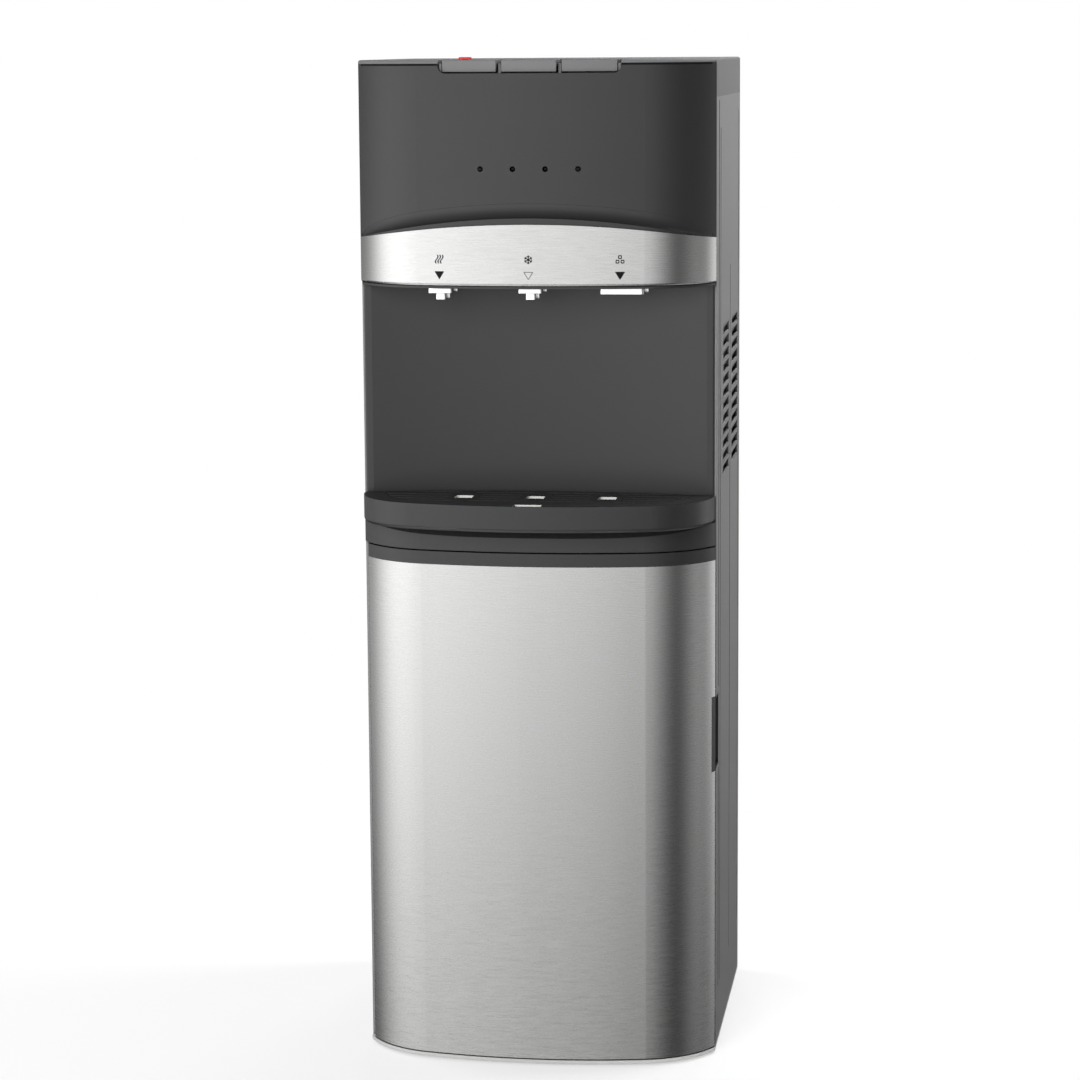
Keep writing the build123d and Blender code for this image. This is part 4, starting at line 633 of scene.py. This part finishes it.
def screw_mesh(radius, height):
    """Mesh of a pan-head screw with a cross recess, seated at the origin and facing up."""
    crown = 0.55 * height
    profile = [(0.0, 0.0), (radius, 0.0), (radius, height - crown), (radius * 0.86, height - 0.3 * crown)]
    profile += [(radius * 0.5, height), (0.0, height)]
    head = bmesh.new()
    turned(head, profile, (0, 0, 0))
    bmesh.ops.recalc_face_normals(head, faces=head.faces)
    long, narrow = 1.1 * radius, 0.24 * radius
    cross = bmesh.new()
    for wide, deep in ((long, narrow), (narrow, long)):
        block(cross, (0, 0, height), (wide, deep, height))
    made = []
    for name, bm in (("screw_blank", head), ("screw_tool", cross)):
        mesh = bpy.data.meshes.new(name)
        bm.to_mesh(mesh)
        bm.free()
        made.append(bpy.data.objects.new(name, mesh))
        bpy.context.scene.collection.objects.link(made[-1])
    blank, tool = made
    cut = blank.modifiers.new("recess", "BOOLEAN")
    cut.operation = "DIFFERENCE"
    cut.object = tool
    cut.solver = "EXACT"
    cut.use_self = True
    carved = bpy.data.meshes.new_from_object(blank.evaluated_get(bpy.context.evaluated_depsgraph_get()))
    for spent in made:
        bpy.data.objects.remove(spent)
    return carved


class DISPENSER_OT_screws(bpy.types.Operator):
    """Screws down the rear flanges of the side panels"""

    bl_idname = "dispenser.screws"
    bl_label = "Screws"

    def execute(self, context):
        sizes = context.scene.dispenser_sizes
        carved = screw_mesh(sizes.screw_radius, sizes.screw_height)
        low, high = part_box("side_panel_right")
        flange = 2.0 * MM
        inset, margin, count = 5 * MM, 40 * MM, 5
        turn_step = math.radians(31)
        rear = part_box("back_panel")[1].y + flange
        step = (high.z - low.z - 2 * margin) / (count - 1)
        levels = [low.z + margin + row * step for row in range(count)]
        places = [(side * (HALF - inset), rear, level) for side in (-1, 1) for level in levels]
        bm = bmesh.new()
        for index, place in enumerate(places):
            start = len(bm.verts)
            bm.from_mesh(carved)
            bm.verts.ensure_lookup_table()
            # Each cross stops at its own angle
            spin = Matrix.Rotation(index * turn_step, 4, "Z")
            seat = Matrix.Translation(place) @ FACING_REAR @ spin
            bmesh.ops.transform(bm, matrix=seat, verts=bm.verts[start:])
        piece("rear_screws", bm, "pin_steel", "cabinet")
        return {"FINISHED"}


class DISPENSER_OT_indicator_lenses(bpy.types.Operator):
    """Low domes over the ends of the four light pipes"""

    bl_idname = "dispenser.indicator_lenses"
    bl_label = "Indicator lenses"

    def execute(self, context):
        low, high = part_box("light_pipes")
        radius = (high.z - low.z) / 2
        level = (high.z + low.z) / 2
        count = 4
        pitch = (high.x - low.x - 2 * radius) / (count - 1)
        bury = 0.4 * MM
        dome = [(0.0, -bury), (radius, -bury), (radius, 0.3 * MM), (radius * 0.8, 0.8 * MM)]
        dome += [(radius * 0.45, 1.15 * MM), (0.0, 1.3 * MM)]
        bm = bmesh.new()
        for index in range(count):
            turned(bm, dome, (low.x + radius + index * pitch, low.y, level), FACING_FRONT)
        piece("indicator_lenses", bm, "clear_plastic", "cabinet", smooth=50.0)
        return {"FINISHED"}


class DISPENSER_OT_spout_tips(bpy.types.Operator):
    """Soft rings in the mouths of the two water spouts"""

    bl_idname = "dispenser.spout_tips"
    bl_label = "Spout tips"

    def execute(self, context):
        low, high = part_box("water_spouts")
        pitch = context.scene.dispenser_sizes.outlet_pitch
        inner, bore, rim, ease_in = 1.9 * MM, 3.0 * MM, 3.9 * MM, 0.4 * MM
        depth, shoulder, foot = 6 * MM, -0.8 * MM, -1.2 * MM
        ring = [(inner, depth), (bore, depth), (bore, 0.0), (rim, 0.0), (rim, shoulder)]
        ring += [(rim - ease_in, foot), (inner + ease_in, foot), (inner, shoulder)]
        bm = bmesh.new()
        for x in (-pitch, 0.0):
            turned(bm, ring, (x, (low.y + high.y) / 2, low.z), steps=28)
        piece("spout_tips", bm, "rubber", "cabinet")
        return {"FINISHED"}


class DISPENSER_OT_outlet_flanges(bpy.types.Operator):
    """Thin bright flanges behind the water spouts and the ice outlet"""

    bl_idname = "dispenser.outlet_flanges"
    bl_label = "Outlet flanges"

    def execute(self, context):
        pitch = context.scene.dispenser_sizes.outlet_pitch
        spout_low, spout_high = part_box("water_spouts")
        mouth_low, mouth_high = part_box("ice_outlet")
        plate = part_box("spout_plate")[0].z
        collar_half, nozzle_half, mouth_half = 14.5 * MM, 7.2 * MM, 25.2 * MM
        nozzle, nozzle_inset = 7.0 * MM, 4.5 * MM
        thick, edge, bury = 1.6 * MM, 0.5 * MM, 0.1 * MM
        collar = spout_low.z + nozzle
        # Middle, half width, depth of its back face, foot and head of each flange
        mouth_x = (mouth_low.x + mouth_high.x) / 2
        shapes = [(mouth_x, mouth_half, mouth_high.y, mouth_low.z, mouth_high.z)]
        for x in (-pitch, 0.0):
            shapes.append((x, collar_half, spout_high.y, collar, plate))
            shapes.append((x, nozzle_half, spout_high.y - nozzle_inset, spout_low.z, collar))
        bm = bmesh.new()
        for x, half_width, rear, foot, head in shapes:
            centre = (x, rear - thick / 2 - bury, (foot + head) / 2)
            made = block(bm, centre, (2 * half_width, thick, head - foot))
            ease(bm, edges_of(made), edge, "EDGES", 3)
        piece("outlet_flanges", bm, "bright_metal", "cabinet")
        return {"FINISHED"}


class DISPENSER_OT_edge_shade_lines(bpy.types.Operator):
    """Dark strips that paint shade lines over the joints behind the side panels' folded front edges"""

    bl_idname = "dispenser.edge_lines"
    bl_label = "Edge lines"

    def execute(self, context):
        wide = context.scene.dispenser_sizes.edge_shade_width
        low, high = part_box("side_panel_right")
        cup_low, cup_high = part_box("finger_cup")
        foot, head, clear = low.z + 59 * MM, high.z - 4 * MM, 5 * MM
        proud, half_joint = 0.15 * MM, 0.2 * MM
        joint = cup_high.y + half_joint
        runs = [(-1, foot, head), (1, foot, cup_low.z - clear), (1, cup_high.z + clear, head)]
        bm = bmesh.new()
        for side, start, end in runs:
            centre = (side * (HALF - proud), joint, (start + end) / 2)
            made = block(bm, centre, (4 * proud, wide, end - start))
            level = [e for e in edges_of(made) if abs(e.verts[0].co.z - e.verts[1].co.z) < MM]
            ease(bm, level, proud * 0.9, "EDGES", 2)
        piece("edge_lines", bm, "rubber", "cabinet")
        return {"FINISHED"}


def bowed_shade_strip(bm, start, end, apex, reach, foot_and_head):
    """A thin strip for painted shade on a bowed front from one x to another; its foot and head follow a
    function of x.
    """
    proud, columns = 0.25 * MM, 100
    strip = bmesh.ops.create_grid(bm, x_segments=columns, y_segments=1, size=0.5)["verts"]
    for vert in strip:
        x = (start + end) / 2 + vert.co.x * (end - start)
        vert.co = (x, bow_y(x, apex, reach) - proud, foot_and_head(x)[vert.co.y > 0])
    faces = list({f for v in strip for f in v.link_faces})
    bmesh.ops.recalc_face_normals(bm, faces=faces)
    bmesh.ops.solidify(bm, geom=faces, thickness=2 * proud)


class DISPENSER_OT_tray_shade(bpy.types.Operator):
    """Dark strip of painted shade under the tray's overhang, where its shadow falls on the trim"""

    bl_idname = "dispenser.tray_gasket"
    bl_label = "Tray gasket"

    def execute(self, context):
        tall = context.scene.dispenser_sizes.tray_shade_height
        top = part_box("mid_trim")[1].z - 0.4 * MM
        reach = TRIM_HALF - 8 * MM
        taper = 0.9

        def foot_and_head(x):
            return top - tall * (1 - taper * (x / reach) ** 4), top

        bm = bmesh.new()
        bowed_shade_strip(bm, -reach, reach, TRIM_APEX, TRIM_HALF, foot_and_head)
        piece("tray_gasket", bm, "rubber", "cabinet", finish="gasket")
        return {"FINISHED"}


class DISPENSER_OT_cover_shade(bpy.types.Operator):
    """Dark strips of painted shade between the head panel and the top cover, either side of the keys"""

    bl_idname = "dispenser.cover_seal"
    bl_label = "Cover seal"

    def execute(self, context):
        tall = context.scene.dispenser_sizes.cover_shade_height
        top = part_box("head_panel")[1].z - 0.1 * MM
        reach, clear = HALF - 4 * MM, 5 * MM
        keys_left, keys_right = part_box("hot_key")[0].x - clear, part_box("ice_key")[1].x + clear
        bm = bmesh.new()
        for start, end in ((-reach, keys_left), (keys_right, reach)):
            bowed_shade_strip(bm, start, end, HEAD_APEX, HALF, lambda x: (top - tall, top))
        piece("cover_seal", bm, "rubber", "cabinet", finish="gasket")
        return {"FINISHED"}


class DISPENSER_OT_grid_glint_sleeves(bpy.types.Operator):
    """White sleeves that paint highlights in the three openings of the drip grid and at the back of its
    finger notch
    """

    bl_idname = "dispenser.grid_sleeves"
    bl_label = "Grid sleeves"

    def execute(self, context):
        sizes = context.scene.dispenser_sizes
        low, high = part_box("drip_grid")
        slack, wall, corner, sunk = 0.1 * MM, 0.5 * MM, 4.9 * MM, 0.5 * MM
        size = Matrix.Diagonal((sizes.grid_hole_width - slack, sizes.grid_hole_depth - slack, 1, 1))
        row = FRONT - 33 * MM
        top = high.z - sunk
        bm = bmesh.new()
        for step in (-1, 0, 1):
            place = Matrix.Translation((step * sizes.grid_hole_pitch, row, top)) @ size
            made = bmesh.ops.create_grid(bm, x_segments=1, y_segments=1, size=0.5, matrix=place)["verts"]
            ease(bm, made, corner, "VERTICES", 6)
        leave_rim(bm, wall)
        draw_out(bm, (0, 0, -sizes.glint_sleeve_height))
        notch_back, notch_slack, notch_wall = 15.6 * MM, 0.6 * MM, 0.8 * MM
        centre = (0.0, low.y + notch_back, (low.z + top) / 2)
        block(bm, centre, (sizes.grid_notch_width - notch_slack, notch_wall, top - low.z))
        piece("grid_sleeves", bm, "white_plastic", "grid")
        return {"FINISHED"}


class DISPENSER_OT_door_bumpers(bpy.types.Operator):
    """Small rubber stops on the turned-in edge at the door's free side"""

    bl_idname = "dispenser.door_bumpers"
    bl_label = "Door bumpers"

    def execute(self, context):
        low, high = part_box("door_skin")
        radius, crown, bury = 4.2 * MM, 3.4 * MM, 0.3 * MM
        inset, foot_margin, head_margin = 10 * MM, 45 * MM, 20 * MM
        dome = [(0.0, -bury), (radius, -bury), (radius, 0.25 * MM), (crown, 0.6 * MM), (0.0, 0.7 * MM)]
        bm = bmesh.new()
        for z in (low.z + foot_margin, high.z - head_margin):
            turned(bm, dome, (high.x - inset, high.y, z), FACING_REAR)
        piece("door_bumpers", bm, "rubber", "door")
        return {"FINISHED"}


def lamp(name, power, place, aim, wide, tall):
    """A softbox that lights but isn't itself seen or reflected; its place, aim and size are in metres."""
    light = bpy.data.lights.new(name, "AREA")
    light.energy = power
    light.shape = "RECTANGLE"
    light.size = wide
    light.size_y = tall
    made = bpy.data.objects.new(name, light)
    bpy.context.scene.collection.objects.link(made)
    made.location = place
    made.rotation_euler = (Vector(aim) - Vector(place)).to_track_quat("-Z", "Y").to_euler()
    made.visible_camera = made.visible_glossy = False


def ramp(tree, fac, low, high, stops):
    """Smooth grey level through stops of (value, level), as a share of the room's peak."""
    share = add_node(tree, "ShaderNodeMapRange", {"Value": fac, "From Min": low, "From Max": high})
    made = add_node(tree, "ShaderNodeValToRGB", {"Fac": share.outputs["Result"]})
    band = made.color_ramp
    band.interpolation = "B_SPLINE"
    while len(band.elements) < len(stops):
        band.elements.new(0.5)
    for element, (value, level) in zip(band.elements, stops):
        element.position = (value - low) / (high - low)
        element.color = (level / ROOM_PEAK,) * 3 + (1.0,)
    return made.outputs["Color"]


def stage_piece(name, bm, material):
    """Turns a bmesh into an object of the stage."""
    mesh = bpy.data.meshes.new(name)
    bm.to_mesh(mesh)
    bm.free()
    mesh.materials.append(material)
    made = bpy.data.objects.new(name, mesh)
    bpy.context.scene.collection.objects.link(made)
    return made


def reflected_room():
    """A dome that only reflections see, lit by bearing and by height."""
    material = bpy.data.materials.new("room_soft_walls")
    material.use_nodes = True
    tree = material.node_tree
    tree.nodes.remove(tree.nodes["Principled BSDF"])
    place = add_node(tree, "ShaderNodeTexCoord").outputs["Object"]
    facing = add_node(tree, "ShaderNodeMapping", {"Vector": place, "Rotation": (0, 0, math.pi / 2)})
    round_the_room = {"Vector": facing.outputs["Vector"]}
    bearing = add_node(tree, "ShaderNodeTexGradient", round_the_room, gradient_type="RADIAL")
    rooms = []
    for walls in (ROOM_LOW, ROOM_HIGH):
        turns = [(degrees / 360 + 0.5, level) for degrees, level in walls]
        rooms.append(ramp(tree, bearing.outputs["Fac"], 0.0, 1.0, turns))
    height = add_node(tree, "ShaderNodeSeparateXYZ", {"Vector": place}).outputs["Z"]
    change = {"Value": height, "From Min": ROOM_CHANGE[0], "From Max": ROOM_CHANGE[1]}
    lifted = add_node(tree, "ShaderNodeMapRange", change, interpolation_type="SMOOTHSTEP")
    walls = {MIX_FACTOR: lifted.outputs["Result"], MIX_A: rooms[0], MIX_B: rooms[1]}
    around = add_node(tree, "ShaderNodeMix", walls, data_type="RGBA")
    upright = ramp(tree, height, -ROOM_RADIUS, ROOM_RADIUS, ROOM_UPRIGHT)
    levels = {MIX_FACTOR: 1.0, MIX_A: around.outputs[MIX_RESULT], MIX_B: upright}
    both = add_node(tree, "ShaderNodeMix", levels, data_type="RGBA", blend_type="MULTIPLY")
    # Both ramps are shares of the peak, so their product is a share of its square
    shine = {"Color": both.outputs[MIX_RESULT], "Strength": ROOM_PEAK**2}
    glow = add_node(tree, "ShaderNodeEmission", shine)
    tree.links.new(glow.outputs["Emission"], tree.nodes["Material Output"].inputs["Surface"])
    bm = bmesh.new()
    bmesh.ops.create_uvsphere(bm, u_segments=64, v_segments=32, radius=ROOM_RADIUS)
    room = stage_piece("room", bm, material)
    room.visible_camera = room.visible_diffuse = room.visible_shadow = room.visible_transmission = False


def pale_floor(radius):
    """A matt floor that takes the object's shadow and fades to white away from it."""
    surface = {"Base Color": linear("#F1F1F1"), "Roughness": 0.9, "Specular IOR Level": 0.1}
    material, tree, shader, place = begin("floor_pale_matt", surface)
    # Metres from the middle between which the floor fades, and the share of white close by
    fade_start, fade_end, white_share = 0.3, 1.1, 0.6
    away = add_node(tree, "ShaderNodeVectorMath", {0: place}, operation="LENGTH").outputs["Value"]
    span = {"Value": away, "From Min": fade_start, "From Max": fade_end, "To Min": white_share}
    fade = add_node(tree, "ShaderNodeMapRange", span, interpolation_type="SMOOTHSTEP")
    rays = add_node(tree, "ShaderNodeLightPath")
    shares = {0: fade.outputs["Result"], 1: rays.outputs["Is Camera Ray"]}
    seen = add_node(tree, "ShaderNodeMath", shares, operation="MULTIPLY")
    white = add_node(tree, "ShaderNodeEmission", {"Color": (1, 1, 1, 1), "Strength": 1.0})
    shaders = {0: seen.outputs["Value"], 1: shader.outputs["BSDF"], 2: white.outputs["Emission"]}
    mix = add_node(tree, "ShaderNodeMixShader", shaders)
    tree.links.new(mix.outputs["Shader"], tree.nodes["Material Output"].inputs["Surface"])
    bm = bmesh.new()
    bmesh.ops.create_circle(bm, cap_ends=True, segments=96, radius=radius)
    floor = stage_piece("floor", bm, material)
    floor.visible_glossy = False


def white_world(scene, ambient):
    """A world that looks white and lights the object only a little."""
    world = bpy.data.worlds.new("studio")
    scene.world = world
    world.use_nodes = True
    tree = world.node_tree
    rays = add_node(tree, "ShaderNodeLightPath")
    shown = rays.outputs["Is Camera Ray"]
    for kind in ("Is Glossy Ray", "Is Transmission Ray"):
        either = add_node(tree, "ShaderNodeMath", {0: shown, 1: rays.outputs[kind]}, operation="MAXIMUM")
        shown = either.outputs["Value"]
    level = add_node(tree, "ShaderNodeMapRange", {"Value": shown, "To Min": ambient, "To Max": 1.0})
    background = tree.nodes["Background"]
    background.inputs["Color"].default_value = (1, 1, 1, 1)
    tree.links.new(level.outputs["Result"], background.inputs["Strength"])


def place_camera(scene, stage):
    """Stands the camera where the stage says; it looks level along +Y before its turns."""
    full_frame = 36.0
    camera = bpy.data.objects.new("camera", bpy.data.cameras.new("camera"))
    scene.collection.objects.link(camera)
    scene.camera = camera
    camera.data.lens = stage.lens
    camera.data.sensor_width = full_frame
    turn = (
        Matrix.Rotation(stage.yaw, 4, "Z")
        @ Matrix.Rotation(stage.pitch, 4, "X")
        @ Matrix.Rotation(stage.roll, 4, "Y")
        @ Matrix.Rotation(math.pi / 2, 4, "X")
    )
    camera.matrix_world = Matrix.Translation(stage.eye) @ turn


class DISPENSER_OT_stage(bpy.types.Operator):
    """Floor, world, lamps, reflected room and camera"""

    bl_idname = "dispenser.stage"
    bl_label = "Stage"

    def execute(self, context):
        scene = context.scene
        stage = scene.dispenser_stage
        scene.view_settings.view_transform = "Standard"
        pale_floor(stage.floor_reach)
        white_world(scene, stage.ambient)
        lamp("front_softbox", stage.key_power, (-0.55, -3.0, 1.75), (0.0, 0.0, 0.6), 1.4, 1.4)
        lamp("left_softbox", stage.fill_power, (-2.4, 0.9, 1.9), (-0.19, 0.05, 0.6), 1.4, 1.6)
        lamp("rear_softbox", stage.fill_power, (0.2, 2.8, 1.8), (0.0, 0.2, 0.6), 1.6, 1.6)
        lamp("side_softbox", stage.side_power, (0.75, 0.3, 2.0), (0.19, 0.05, 1.0), 0.6, 0.8)
        reflected_room()
        place_camera(scene, stage)
        return {"FINISHED"}


class DISPENSER_PT_sidebar(bpy.types.Panel):
    """Steps that dress the dispenser"""

    bl_idname = "DISPENSER_PT_sidebar"
    bl_label = "Water Dispenser"
    bl_space_type = "VIEW_3D"
    bl_region_type = "UI"
    bl_category = "Dispenser"

    def draw(self, context):
        for group_name in GROUPS:
            group = getattr(context.scene, group_name)
            for name in group.bl_rna.properties.keys():
                if name not in ("rna_type", "name"):
                    self.layout.prop(group, name)
        for step in STEPS:
            self.layout.operator(step.bl_idname)


STEPS = (
    DISPENSER_OT_stage,
    DISPENSER_OT_finishes,
    DISPENSER_OT_head_fillet,
    DISPENSER_OT_band_symbols,
    DISPENSER_OT_screws,
    DISPENSER_OT_indicator_lenses,
    DISPENSER_OT_spout_tips,
    DISPENSER_OT_outlet_flanges,
    DISPENSER_OT_edge_shade_lines,
    DISPENSER_OT_tray_shade,
    DISPENSER_OT_cover_shade,
    DISPENSER_OT_grid_glint_sleeves,
    DISPENSER_OT_door_bumpers,
)
GROUPS = {
    "dispenser_colours": DispenserColours,
    "dispenser_sizes": DispenserSizes,
    "dispenser_stage": DispenserStage,
}


def register():
    for made in (*GROUPS.values(), *STEPS, DISPENSER_PT_sidebar):
        bpy.utils.register_class(made)
    for name, group in GROUPS.items():
        setattr(bpy.types.Scene, name, PointerProperty(type=group))


def unregister():
    for name in GROUPS:
        delattr(bpy.types.Scene, name)
    for made in reversed((*GROUPS.values(), *STEPS, DISPENSER_PT_sidebar)):
        bpy.utils.unregister_class(made)


def main():
    register()
    for step in STEPS:
        getattr(bpy.ops.dispenser, step.bl_idname.split(".")[1])()


if __name__ == "__main__":
    main()
